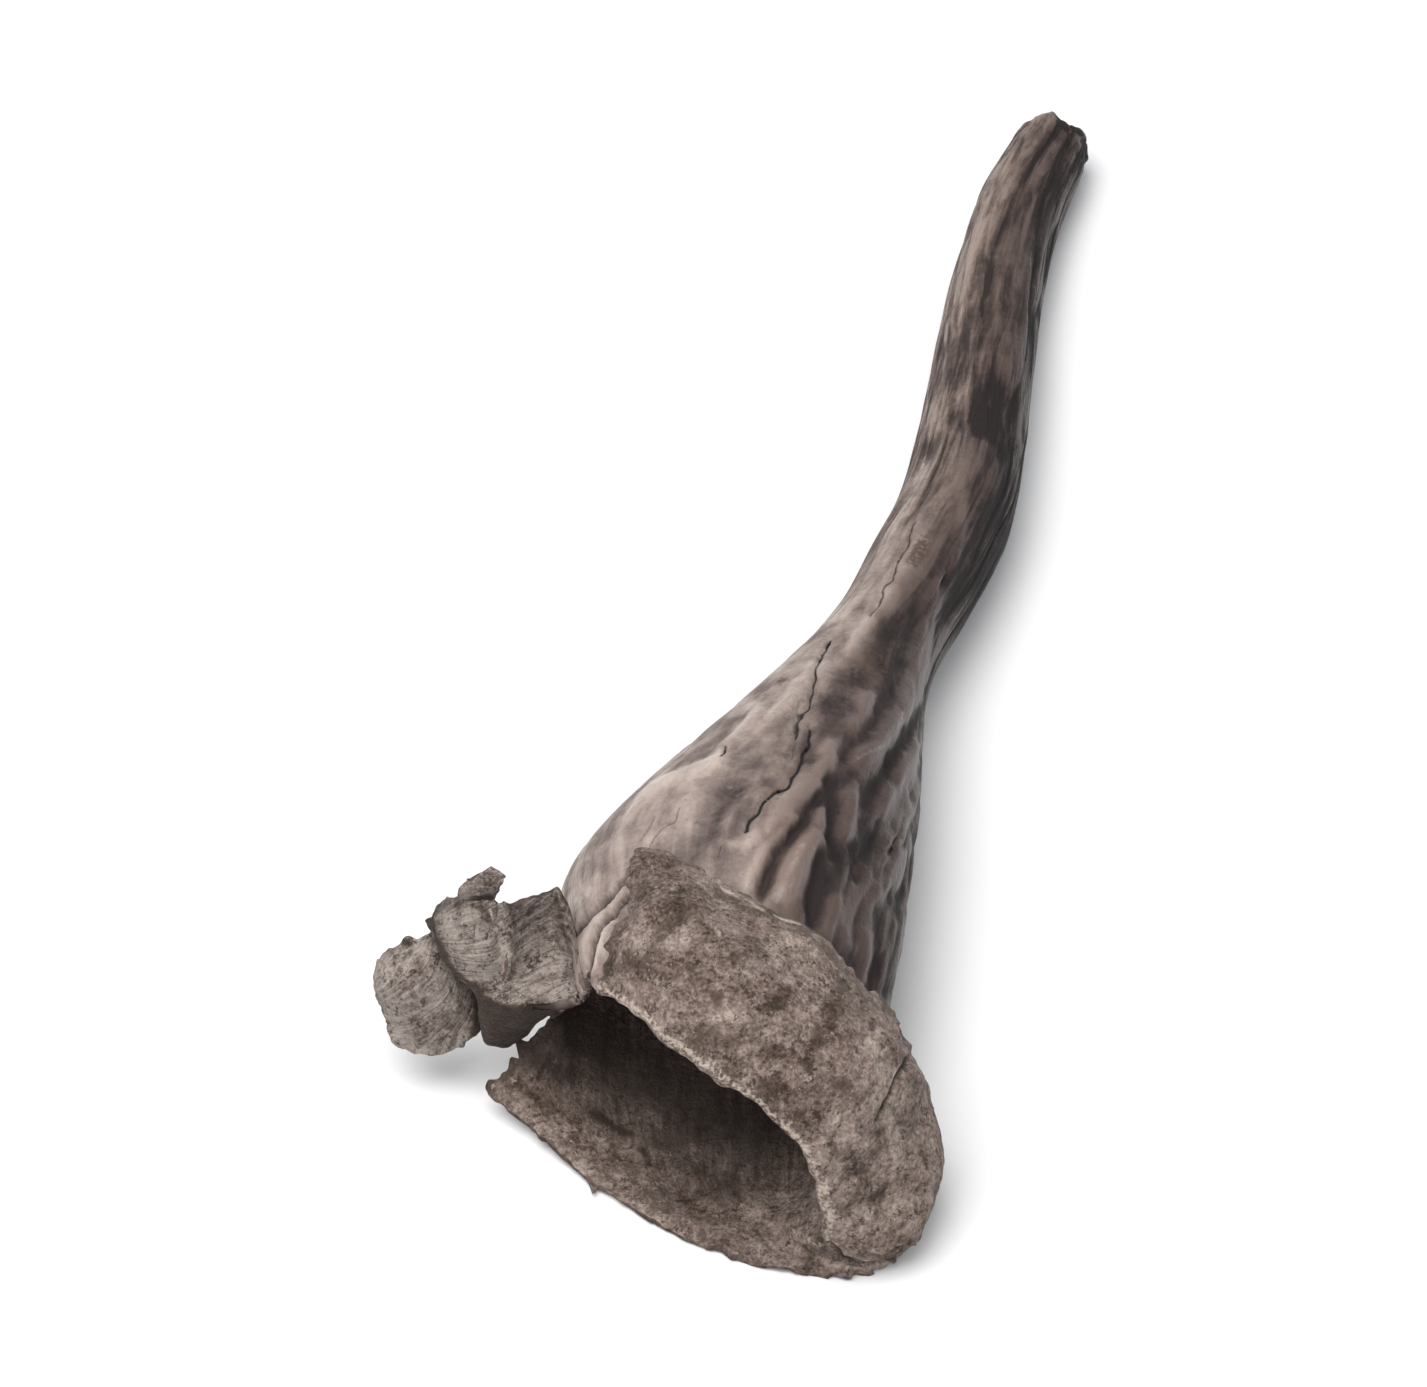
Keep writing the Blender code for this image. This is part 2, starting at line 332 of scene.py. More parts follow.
    @property
    def tear(self) -> int:
        """Return the place on the rim where the lip ends and the strip begins."""
        return len(self.lip_sections) - 1

    @property
    def whole(self) -> int:
        """Return the number of places all around the rim."""
        return self.tear + 1 + len(self.strip_root)

    def rim_places(self) -> tuple[Array, Array]:
        """Return the places of the cage's columns on the lip and on the strip."""
        lip = np.linspace(0, self.tear, self.lip_columns + 1)
        strip = np.linspace(self.tear, self.whole, self.strip_columns + 1)
        return lip, strip

    def crest_line(self, places: Array) -> Array:
        """Return clock angle, x, y and z of the crest.

        Args:
            places: Places around the rim, counted in rim sections.

        Returns:
            One row for each place.
        """
        knots = [(angle, *crest) for angle, crest, _, _ in self.lip_sections]
        knots += [(angle, *crest) for angle, crest in self.strip_root]
        knots = np.array(knots, float)
        turn = np.array([360.0, 0.0, 0.0, 0.0])
        laps = np.concatenate([knots + turn, knots, knots - turn])
        return spline(laps, np.asarray(places) + len(knots))

    def lengthwise_folds(self, clock: Array, place: float) -> Array:
        """Return the height of the broad lengthwise folds, -1 to 1, around the section at a place."""
        return sum(
            strength * np.sin(folds * clock + start + drift * place)
            for strength, folds, start, drift in self.fold_waves
        )

    def body_places(self) -> Array:
        """Return the places of the body's rows, counted in sections, closer on the flare."""
        stem = np.linspace(0, self.stem_sections, self.stem_rows + 1)
        flare = np.linspace(self.stem_sections, len(self.body_sections), self.flare_rows + 1)
        return np.concatenate([stem, flare[1:]])

    def body_rows(self, places: Array, lengthwise: Array | None = None) -> Array:
        """Return the rows of points along stem and trumpet, from the root end to the crest.

        Args:
            places: Places around the rim, counted in rim sections.
            lengthwise: The rows' places, counted in sections, or the body's own rows.

        Returns:
            One row of points for each of the body's places.
        """
        rim = self.crest_line(places)
        clock = np.radians(rim[:, 0])
        sections = np.array(self.body_sections)
        ahead = unit(np.gradient(sections[:, :3], axis=0))
        rings = []
        for number, (section, forward) in enumerate(zip(sections, ahead)):
            right = unit(np.cross((0.0, 0.0, 1.0), forward))
            up = unit(np.cross(forward, right))
            fold = 1.0 + self.fold_depth * self.lengthwise_folds(clock, number)
            width = section[3] * fold * np.cos(clock)
            height = section[4] * fold * np.sin(clock)
            rings.append(section[:3] + width[:, None] * right + height[:, None] * up)
        rings.append(rim[:, 1:])
        return spline(rings, self.body_places() if lengthwise is None else lengthwise)

    def row_below_crest(self, places: Array) -> Array:
        """Return the points a short way below the crest, which the rim's first turn follows."""
        rows = self.body_rows(places, np.array([len(self.body_sections) * (1.0 - self.turn_share)]))
        return rows[0]

    def lip_rows(self, places: Array, below: Array, crest: Array) -> list[Array]:
        """Return the rows of the folded lip, from crest over shoulder to margin.

        Args:
            places: Places of the lip's columns on the rim.
            below: The body's row before the crest.
            crest: The crest's points.

        Returns:
            The rows of points, without the crest.
        """
        knots = np.array([(*shoulder, *margin) for _, _, shoulder, margin in self.lip_sections])
        shoulder, margin = np.split(spline(knots, places), 2, axis=1)
        ripple = sum(wave * np.sin(pace * places + start) for wave, pace, start in self.margin_waves)
        margin = margin + self.margin_ripple * ripple[:, None] * unit(margin - shoulder)
        rise = unit(crest - below)
        rise[:, 2] = np.where(crest[:, 2] < self.low_crest, 0.0, rise[:, 2])
        rise = unit(rise)
        first = np.linalg.norm(shoulder - crest, axis=1, keepdims=True)
        second = np.linalg.norm(margin - shoulder, axis=1, keepdims=True)
        over = unit((shoulder - crest) / first + (margin - shoulder) / second)
        end = self.margin_pull * (margin - shoulder) - self.shoulder_lag * second * over
        rows = []
        for step in range(1, self.lip_row_count + 1):
            share = 2.0 * step / self.lip_row_count
            if share <= 1.0:
                rows.append(hermite(crest, self.roll * first * rise, shoulder, first * over, share))
            else:
                rows.append(hermite(shoulder, second * over, margin, end, share - 1.0))
        return rows

    def strip_rows(self, below: Array, crest: Array) -> Array:
        """Return the rows of the torn strip, from its root in the rim to its curled tip.

        Args:
            below: The body's row before the crest, on the strip's columns.
            crest: The crest's points, on the strip's columns.

        Returns:
            The rows of points, without the crest.
        """
        across = np.linspace(len(self.strip_sections[0]) - 1, 0, self.strip_columns + 1)
        stations = [spline(self.plane.lift(section), across) for section in self.strip_sections]
        stations = [below, crest, *stations]
        return spline(stations, np.linspace(1, len(stations) - 1, self.strip_row_count + 1))[1:]


def apply_modifier(piece: Piece, name: str, kind: str, **settings: object) -> None:
    """Put a modifier with the given settings on a piece, and apply it."""
    bpy.context.view_layer.objects.active = piece
    modifier = piece.modifiers.new(name, kind)
    for setting, value in settings.items():
        setattr(modifier, setting, value)
    bpy.ops.object.modifier_apply(modifier=name)


@dataclass
class WallCage:
    """The open cage of the wall, extruded row by row from a circle at the root end."""

    form: TrumpetForm
    smoothing: int = 4
    thickness: float = 0.5
    lip_spread: float = 0.02

    # Where the flag lies on the straightened wall: how far beyond the crest and how wide a column is
    flag_reach: float = 6.0
    flag_spacing: float = 0.1

    # How sharp the folds stay: the lip's crest, the strip's rib, turned end and hem, the flag's corners
    crest_sharpness: float = 0.60
    rib_sharpness: float = 0.30
    turn_sharpness: float = 0.55
    hem_sharpness: float = 0.75
    flag_sharpness: float = 0.85

    # Names of what each point of the cage carries
    grown: str = "grown"
    beyond: str = "beyond"
    patch: str = "patch"
    column: str = "column"

    def start(self, ring: Array) -> Piece:
        """Add the closed circle at the root end, with a layer for each thing that a point carries.

        Args:
            ring: The first row's points.

        Returns:
            The new object, in edit mode.
        """
        bpy.ops.object.select_all(action="DESELECT")
        radius = float(self.form.body_sections[0][3]) * MM
        bpy.ops.mesh.primitive_circle_add(vertices=len(ring), radius=radius, fill_type="NGON")
        piece = bpy.context.object
        piece.name = "mushroom_wall"
        bpy.ops.object.mode_set(mode="EDIT")
        mesh = bmesh.from_edit_mesh(piece.data)
        mesh.verts.layers.int.new(self.column)
        mesh.verts.layers.float_vector.new(self.grown)
        mesh.verts.layers.float.new(self.beyond)
        mesh.verts.layers.float.new(self.patch)
        column = mesh.verts.layers.int[self.column]
        for number, vertex in enumerate(mesh.verts):
            vertex[column] = number
        bmesh.update_edit_mesh(piece.data)
        return piece

    def lay(
        self, piece: Piece, columns: Iterable[int], points: Array, grown: Array, beyond: Array, patch: Patch
    ) -> None:
        """Move the selected points to their places and mark where they grew.

        Args:
            piece: The cage, in edit mode.
            columns: The columns that the points are on, in order.
            points: The place of each column's point.
            grown: Where it lies on the unrolled wall.
            beyond: How far it lies beyond the crest.
            patch: The stretch of the wall that the row belongs to.
        """
        mesh = bmesh.from_edit_mesh(piece.data)
        layers = mesh.verts.layers
        row = {number: values for number, *values in zip(columns, points, grown, beyond)}
        for vertex in mesh.verts:
            if not vertex.select:
                continue
            point, place, reach = row[vertex[layers.int[self.column]]]
            vertex.co = point * MM
            vertex[layers.float_vector[self.grown]] = place
            vertex[layers.float[self.beyond]] = reach
            vertex[layers.float[self.patch]] = float(patch.value)
        bmesh.update_edit_mesh(piece.data)

    def pull(self, piece: Piece, columns: Iterable[int]) -> None:
        """Extrude the selected row's edges between the given columns."""
        chosen = set(columns)
        mesh = bmesh.from_edit_mesh(piece.data)
        layer = mesh.verts.layers.int[self.column]
        row = [edge for edge in mesh.edges if edge.select]
        edges = [edge for edge in row if all(vertex[layer] in chosen for vertex in edge.verts)]
        bpy.ops.mesh.select_all(action="DESELECT")
        for edge in edges:
            edge.select = True
        bmesh.update_edit_mesh(piece.data)
        bpy.ops.mesh.extrude_edges_move()

    def select_row(self, piece: Piece, row: Array) -> list[int]:
        """Select the cage's edges between neighbouring points.

        Args:
            piece: The cage, in edit mode.
            row: The points, in order.

        Returns:
            The numbers of the cage's points there.
        """
        bpy.ops.mesh.select_all(action="DESELECT")
        mesh = bmesh.from_edit_mesh(piece.data)
        mesh.verts.ensure_lookup_table()
        places = [Vector(point) * MM for point in row]
        ends = [min(mesh.verts, key=lambda vertex: (vertex.co - place).length) for place in places]
        for first, second in zip(ends, ends[1:]):
            mesh.edges.get((first, second)).select = True
        numbers = [vertex.index for vertex in ends]
        bmesh.update_edit_mesh(piece.data)
        return numbers

    def sharpen(self, piece: Piece, row: Array, sharpness: float) -> None:
        """Keep a fold sharp when the cage is smoothed.

        Args:
            piece: The cage, in edit mode.
            row: The points along the fold.
            sharpness: From 0, round, to 1, sharp.
        """
        ends = self.select_row(piece, row)
        mesh = bmesh.from_edit_mesh(piece.data)
        layer = mesh.edges.layers.float.get("crease_edge") or mesh.edges.layers.float.new("crease_edge")
        mesh.verts.ensure_lookup_table()
        for first, second in zip(ends, ends[1:]):
            mesh.edges.get((mesh.verts[first], mesh.verts[second]))[layer] = sharpness
        bmesh.update_edit_mesh(piece.data)

    def unroll(self, places: Array, girth: Array, along: Array) -> Array:
        """Return where points lie on the straightened wall, a round tube of the same girth."""
        turn = 2.0 * math.pi * places / self.form.whole
        return np.stack([girth * np.cos(turn), girth * np.sin(turn), along], axis=1)

    def draw(self) -> Piece:
        """Draw the whole cage.

        Returns:
            The cage as an object, in object mode.
        """
        form = self.form
        lip_places, strip_places = form.rim_places()
        places = np.concatenate([lip_places, strip_places[1:-1]])
        count = len(places)
        rows = form.body_rows(places)
        below, crest = form.row_below_crest(places), rows[-1]
        steps = np.linalg.norm(np.diff(rows, axis=0), axis=2)
        along = np.concatenate([np.zeros((1, count)), np.cumsum(steps, axis=0)])
        centres = rows.mean(axis=1, keepdims=True)
        girth = np.linalg.norm(rows - centres, axis=2).mean(axis=1)

        piece = self.start(rows[0])
        columns = range(count)
        for number, row in enumerate(rows):
            if number:
                self.pull(piece, columns)
            grown = self.unroll(places, np.full(count, girth[number]), along[number])
            self.lay(piece, columns, row, grown, along[number] - along[-1], Patch.BODY)

        tear = form.lip_columns
        lip = list(range(tear + 1))
        lip_rows = form.lip_rows(lip_places, below[lip], crest[lip])
        self.grow(piece, lip, lip_places, lip_rows, crest, girth[-1], along[-1], Patch.LIP)

        strip = list(range(tear, count)) + [0]
        strip_rows = form.strip_rows(below[strip], crest[strip])
        self.grow(piece, strip, strip_places, strip_rows, crest, girth[-1], along[-1], Patch.STRIP)

        base = np.array([row[-1] for row in strip_rows[slice(*form.flag_rows)]])
        self.grow_flag(piece, base, girth[-1], float(along[-1][0]))

        self.sharpen(piece, crest[lip], self.crest_sharpness)
        self.sharpen(piece, strip_rows[form.rib_row][2:], self.rib_sharpness)
        self.sharpen(piece, strip_rows[form.turn_row], self.turn_sharpness)
        self.sharpen(piece, strip_rows[: form.turn_row, form.hem_column], self.hem_sharpness)
        bpy.ops.object.mode_set(mode="OBJECT")
        return piece

    def grow(
        self,
        piece: Piece,
        columns: list[int],
        places: Array,
        rows: list[Array],
        crest: Array,
        girth: float,
        along: Array,
        patch: Patch,
    ) -> None:
        """Grow a stretch of rim outwards from the crest.

        Args:
            piece: The cage, in edit mode.
            columns: The columns that it grows from, in order.
            places: Their places around the rim.
            rows: Its rows of points.
            crest: The crest's points.
            girth: The straightened wall's radius at the crest.
            along: How far each column's crest is from the root end.
            patch: The stretch of the wall that it is.
        """
        self.select_row(piece, crest[columns])
        reach = np.zeros(len(columns))
        last = crest[columns]
        for row in rows:
            reach = reach + np.linalg.norm(row - last, axis=1)
            last = row
            self.pull(piece, columns)
            grown = self.unroll(places, girth * (1.0 + self.lip_spread * reach), along[columns] + reach)
            self.lay(piece, columns, row, grown, reach, patch)

    def grow_flag(self, piece: Piece, base: Array, girth: float, along: float) -> None:
        """Grow the small flag from the strip's top margin.

        Args:
            piece: The cage, in edit mode.
            base: The points of the margin that it grows from.
            girth: The straightened wall's radius at the crest.
            along: How far the crest is from the root end.
        """
        ends = self.select_row(piece, base)
        mesh = bmesh.from_edit_mesh(piece.data)
        mesh.verts.ensure_lookup_table()
        layer = mesh.verts.layers.int[self.column]
        for number, end in enumerate(ends):
            mesh.verts[end][layer] = number
        count = len(ends)
        for step, targets in enumerate(self.form.flag_steps, 1):
            self.pull(piece, range(count))
            reach = np.full(count, self.flag_reach + step)
            grown = self.unroll(self.flag_spacing * np.arange(count), girth + reach, along + reach)
            points = self.form.plane.lift(targets)
            self.lay(piece, range(count), points, grown, reach, Patch.FLAG)
        mesh = bmesh.from_edit_mesh(piece.data)
        point_layer = mesh.verts.layers.float.get("crease_vert") or mesh.verts.layers.float.new("crease_vert")
        for vertex in mesh.verts:
            if vertex.select:
                vertex[point_layer] = self.flag_sharpness
        bmesh.update_edit_mesh(piece.data)

    def smooth(self, piece: Piece) -> None:
        """Round the cage by subdivision and make its faces point outwards."""
        apply_modifier(piece, "rounding", "SUBSURF", levels=self.smoothing, render_levels=self.smoothing)
        bpy.ops.object.mode_set(mode="EDIT")
        bpy.ops.mesh.select_all(action="SELECT")
        bpy.ops.mesh.normals_make_consistent(inside=False)
        bpy.ops.object.mode_set(mode="OBJECT")
        root = max(piece.data.vertices, key=lambda vertex: vertex.co.y)
        if root.normal.y < 0.0:
            piece.data.flip_normals()

    def thicken(self, piece: Piece) -> None:
        """Give the wall its two sides, with the finish of each and of the torn edge."""
        depth = self.thickness * MM
        apply_modifier(
            piece, "wall", "SOLIDIFY", thickness=depth, offset=0.0, material_offset=1, material_offset_rim=2
        )


@dataclass
class MeshThinner:
    """Takes faces away where they aren't needed, as after sculpting."""

    most_triangles: int = 196000
    hidden_share: float = 0.04
    hidden_below: float = -17.0

    def thin_inside(self, piece: Piece, count: int, beyond: Array) -> None:
        """Thin the inner side of the stem, which nobody sees.

        Args:
            piece: The wall, whose first points are outside and the next ones inside.
            count: How many points each side has.
            beyond: How far each point of a side lies beyond the crest.
        """
        mesh = piece.data
        chosen = np.zeros(len(mesh.vertices), bool)
        chosen[count : 2 * count] = beyond < self.hidden_below
        bpy.ops.object.select_all(action="DESELECT")
        piece.select_set(True)
        bpy.context.view_layer.objects.active = piece
        bpy.ops.object.mode_set(mode="EDIT")
        bpy.ops.mesh.select_mode(type="VERT")
        bpy.ops.mesh.select_all(action="DESELECT")
        bpy.ops.object.mode_set(mode="OBJECT")
        mesh.vertices.foreach_set("select", chosen)
        bpy.ops.object.mode_set(mode="EDIT")
        bpy.ops.mesh.select_mode(type="FACE")
        bpy.ops.mesh.decimate(ratio=self.hidden_share)
        bpy.ops.object.mode_set(mode="OBJECT")

    def thin_all(self, piece: Piece) -> None:
        """Thin the whole piece to its number of triangles, most where it is smooth."""
        corners = read_floats(piece.data.polygons, "loop_total", 1)[:, 0]
        triangles = float((corners - 2.0).sum())
        if triangles > self.most_triangles:
            apply_modifier(piece, "thinning", "DECIMATE", ratio=self.most_triangles / triangles)


# What brings noise to a swing of about one, and how far apart the seeds' noises are read
NOISE_GAIN = 1.4
SEED_STEP = np.array([17.3, 31.7, 47.1])


def noise_at(points: Array, size: float | Point, seed: int) -> Array:
    """Return smooth noise at each point, about -1 to 1, with lumps of one size or one for each way."""
    spots = points / np.asarray(size, float) + seed * SEED_STEP
    return np.array([noise.noise(spot) for spot in spots.tolist()]) * NOISE_GAIN


@dataclass(frozen=True)
class Layer:
    """A layer of smooth noise: its height, the size of its lumps and its seed."""

    height: float
    size: float | Point
    seed: int

    def at(self, points: Array) -> Array:
        """Return the layer's height at each point, above or below zero."""
        return self.height * noise_at(points, self.size, self.seed)


@dataclass(frozen=True)
class Lines:
    """Thin winding lines where smooth noise crosses zero: their width as a share of its swing."""

    width: float
    size: float | Point
    seed: int

    def at(self, points: Array) -> Array:
        """Return one on the lines and less beside them, for each point."""
        return fade(noise_at(points, self.size, self.seed), self.width)


@dataclass(frozen=True)
class Stroke:
    """One stroke of a tool or brush on the drawing plane."""

    path: tuple[tuple[float, float], ...]
    half_width: float
    strength: float = 1.0

    def nearest(self, spots: Array) -> tuple[Array, Array]:
        """Return the distance from each spot to the stroke, and the move onto it.

        Args:
            spots: Right and up for each spot.

        Returns:
            The distances, and the moves right and up.
        """
        best = np.full(len(spots), np.inf)
        moves = np.zeros_like(spots)
        path = np.array(self.path if len(self.path) > 1 else self.path * 2)
        for start, end in zip(path, path[1:]):
            run = end - start
            share = np.clip((spots - start) @ run / max(run @ run, 1e-9), 0.0, 1.0)
            move = start + share[:, None] * run - spots
            away = np.linalg.norm(move, axis=1)
            closer = away < best
            best = np.where(closer, away, best)
            moves[closer] = move[closer]
        return best, moves

    def weight(self, spots: Array, wobble: Array | float) -> Array:
        """Return how much each spot feels the stroke, from 0 to 1, for a stroke of uneven width."""
        return fade(self.nearest(spots)[0], self.half_width * wobble)


Strokes = tuple[Stroke, ...]


def brush(spots: Array, strokes: Strokes, wobble: Array | float = 1.0) -> Array:
    """Return what raising and sinking strokes add up to at each spot.

    Args:
        spots: Right and up for each spot.
        strokes: The strokes. A negative strength sinks.
        wobble: How much wider than drawn they are there.

    Returns:
        The strongest raise and the strongest sink there, added together.
    """
    raised = np.zeros(len(spots))
    sunk = np.zeros(len(spots))
    for stroke in strokes:
        value = stroke.weight(spots, wobble) * stroke.strength
        raised = np.maximum(raised, value)
        sunk = np.minimum(sunk, value)
    return raised + sunk


def strokes(*rows: tuple) -> Strokes:
    """Return one stroke for each row of half width, strength and the points of its path."""
    return tuple(Stroke(tuple(path), half_width, strength) for half_width, strength, *path in rows)


# The tear between the folded lip and the strip: its two crevices and the roll of skin beside each
OUTER_CREVICE = ((-7.9, -14.2), (-7.2, -13.1), (-6.3, -12.25), (-5.67, -11.69), (-5.04, -10.85),
                 (-4.55, -10.2))
INNER_CREVICE = ((-4.62, -11.55), (-5.25, -12.11), (-5.39, -12.6), (-6.09, -13.16), (-6.52, -14.08),
                 (-6.87, -16.18))
OUTER_ROLL = ((-4.97, -11.13), (-5.81, -12.25), (-6.66, -13.23), (-7.15, -14.22), (-7.08, -15.34),
              (-7.01, -16.46))
INNER_ROLL = ((-5.46, -12.95), (-6.09, -13.65), (-6.34, -14.57), (-6.62, -15.76))


@dataclass
class TrumpetMarks:
    """The marks that are drawn on the wall, as strokes on the drawing plane."""

    # Cracks of the outer skin: along the neck, down the flank and beside the folded lip. They are cut in,
    # and painted shade darkens them
    cracks: Strokes = strokes(
        (0.11, 0.7, (11.36, 9.39), (11.03, 8.81), (10.95, 8.23), (10.53, 7.56), (10.2, 6.73), (10.03, 6.15),
         (9.71, 5.9), (9.5, 5.44), (9.42, 5.11), (9.15, 4.7), (8.79, 4.1)),
        (0.11, 0.8, (6.52, 2.71), (6.11, 1.96), (5.78, 1.13), (5.61, 0.3), (5.44, -0.36), (5.28, -1.03),
         (4.78, -1.69), (4.74, -2.1), (4.61, -2.6)),
        (0.12, 1.0, (5.4, -2.19), (5.28, -3.02), (4.95, -3.68), (4.7, -4.43), (4.28, -5.17), (4.05, -5.57),
         (3.37, -5.72), (2.87, -6.22), (2.54, -6.72), (2.04, -7.13), (1.8, -7.8)),
        (0.1, 0.6, (-1.88, -6.68), (-2.13, -7.27), (-2.8, -7.76), (-3.13, -8.26), (-3.46, -8.76)),
        (0.11, 0.8, (0.75, -3.3), (0.68, -3.6), (0.5, -3.8)),
        (0.085, 0.55, (4.8, -0.4), (4.72, -1.4), (4.5, -2.2), (4.54, -3.1), (4.4, -3.9)),
        (0.085, 0.5, (13.1, 7.4), (12.85, 6.6), (12.35, 5.8)),
        (0.09, 0.55, (-4.1, -8.4), (-3.7, -7.9), (-3.35, -7.3)),
        (0.1, 0.6, (0.44, -8.67), (0.35, -9.0), (0.19, -9.34)),
        (0.1, 0.6, (10.0, -8.2), (9.88, -8.55), (9.59, -9.12)),
        (0.085, 0.75, *OUTER_CREVICE[1:]),
        (0.075, 0.7, *INNER_CREVICE[:4]),
        (0.075, 0.6, (-6.09, -13.16), (-6.52, -14.08), (-6.75, -15.2), (-6.87, -16.18)),
    )

    # Ridges and blisters of the outer skin, and the valleys between them
    ridges: Strokes = strokes(
        (0.42, 0.16, (10.75, 6.6), (10.0, 5.19), (8.76, 3.78), (7.93, 2.79), (7.68, 2.12)),
        (0.55, 0.26, (12.24, 5.86), (11.58, 3.62), (11.33, 1.71), (10.83, -0.36), (10.09, -1.52),
         (9.17, -2.68), (8.26, -3.51)),
        (0.34, 0.16, (8.59, -0.36), (8.18, -1.27), (7.77, -1.86)),
        (0.48, 0.24, (11.0, -3.02), (10.5, -4.09), (9.84, -5.39), (9.34, -6.14), (9.01, -6.97),
         (8.76, -7.71)),
        (0.5, 0.24, (6.44, -3.1), (6.11, -4.09), (5.69, -4.92), (4.95, -5.75), (4.3, -6.1), (3.85, -6.8),
         (3.2, -7.75)),
        (0.36, 0.22, (4.37, -7.3), (3.54, -8.21), (2.79, -9.04), (2.29, -10.04), (1.88, -10.95)),
        (0.62, 0.42, (5.4, -8.35), (4.95, -8.95), (4.45, -9.7), (4.1, -10.5), (3.9, -11.1)),
        (0.36, 0.2, (5.78, -6.8), (5.86, -7.63), (5.69, -8.5)),
        (0.42, 0.2, (7.68, -6.14), (7.43, -7.22), (7.27, -8.05)),
        (0.42, 0.18, (10.75, -6.64), (10.34, -7.47), (9.84, -8.54)),
        (0.62, 0.22, (10.15, -9.3), (9.67, -10.45), (8.76, -11.53)),
        (0.42, 0.2, (6.6, -11.78), (6.6, -12.6), (6.19, -13.44)),
        (0.45, 0.16, (7.05, -13.6), (7.45, -14.3)),
        (0.36, 0.18, (8.26, -13.7), (8.35, -14.85), (8.1, -16.0)),
        (0.34, 0.12, (1.05, -8.71), (1.8, -8.63), (2.54, -8.05)),
        (0.34, 0.2, (2.68, -1.29), (1.85, -1.88), (0.94, -2.95), (0.27, -4.03), (-0.89, -4.49),
         (-1.72, -4.86), (-2.71, -5.19), (-3.71, -5.69), (-4.7, -6.15)),
        (0.36, 0.18, (5.66, 1.11), (4.83, 0.11), (4.0, -0.88), (3.2, -1.5)),
        (0.4, 0.12, (-1.05, -6.02), (-1.88, -6.5)), (0.34, 0.12, (-2.46, -7.9), (-3.54, -8.5)),
        (0.26, 0.12, (13.93, 10.8), (13.6, 8.6), (13.27, 7.15), (12.94, 6.15)),
        (0.3, 0.14, (12.27, 6.24), (11.94, 5.49), (11.6, 4.66)),
        (0.6, -0.08, (10.34, 4.36), (9.34, 2.79), (8.26, 1.38), (7.52, 0.05), (6.94, -1.03), (6.44, -2.19),
         (5.86, -3.43)),
        (0.46, -0.11, (11.05, 4.6), (10.55, 2.6), (10.05, 0.9), (9.4, -0.6), (8.7, -1.9)),
        (0.42, -0.22, (11.45, -1.1), (11.05, -2.1), (10.4, -3.1), (9.6, -4.2), (8.9, -5.3), (8.3, -6.3)),
        (0.42, -0.16, (7.6, -2.8), (7.1, -4.1), (6.9, -5.0)),
        (0.34, -0.28, (5.78, -5.97), (4.95, -7.38), (4.37, -8.1), (3.54, -9.3), (2.96, -10.53),
         (2.62, -11.36)),
        (0.36, -0.26, (6.27, -4.9), (6.52, -6.39), (6.44, -8.05), (6.52, -9.21)),
        (0.42, -0.3, (5.85, -9.1), (5.78, -10.2), (5.44, -11.36), (5.44, -12.86)),
        (0.36, -0.24, (7.6, -8.7), (7.77, -9.54), (7.85, -10.37)),
        (0.46, -0.22, (8.93, -7.4), (8.51, -8.31), (8.26, -9.21)),
        (0.28, -0.2, (9.09, -14.9), (8.76, -15.84), (8.59, -16.84)),
        (0.28, -0.18, (10.75, -9.3), (10.6, -10.4), (10.2, -11.4)),
        (0.42, -0.16, (1.6, -1.54), (0.6, -2.54), (-0.72, -3.53), (-2.0, -4.2)),
        (0.7, -0.26, (0.94, -5.6), (-0.06, -7.5), (-1.05, -8.5), (-1.39, -9.3)),
        (0.4, -0.14, (2.02, -6.4), (1.3, -7.2), (1.2, -8.0)), (0.26, -0.12, (12.1, 6.4), (11.7, 5.6)),
    )

    # Crevices of the skin in the tear between the folded lip and the strip, and the rolls beside them
    tear_folds: Strokes = strokes(
        (0.15, -0.34, *OUTER_CREVICE), (0.11, -0.26, *INNER_CREVICE), (0.26, 0.08, *OUTER_ROLL),
        (0.17, 0.08, *INNER_ROLL),
    )
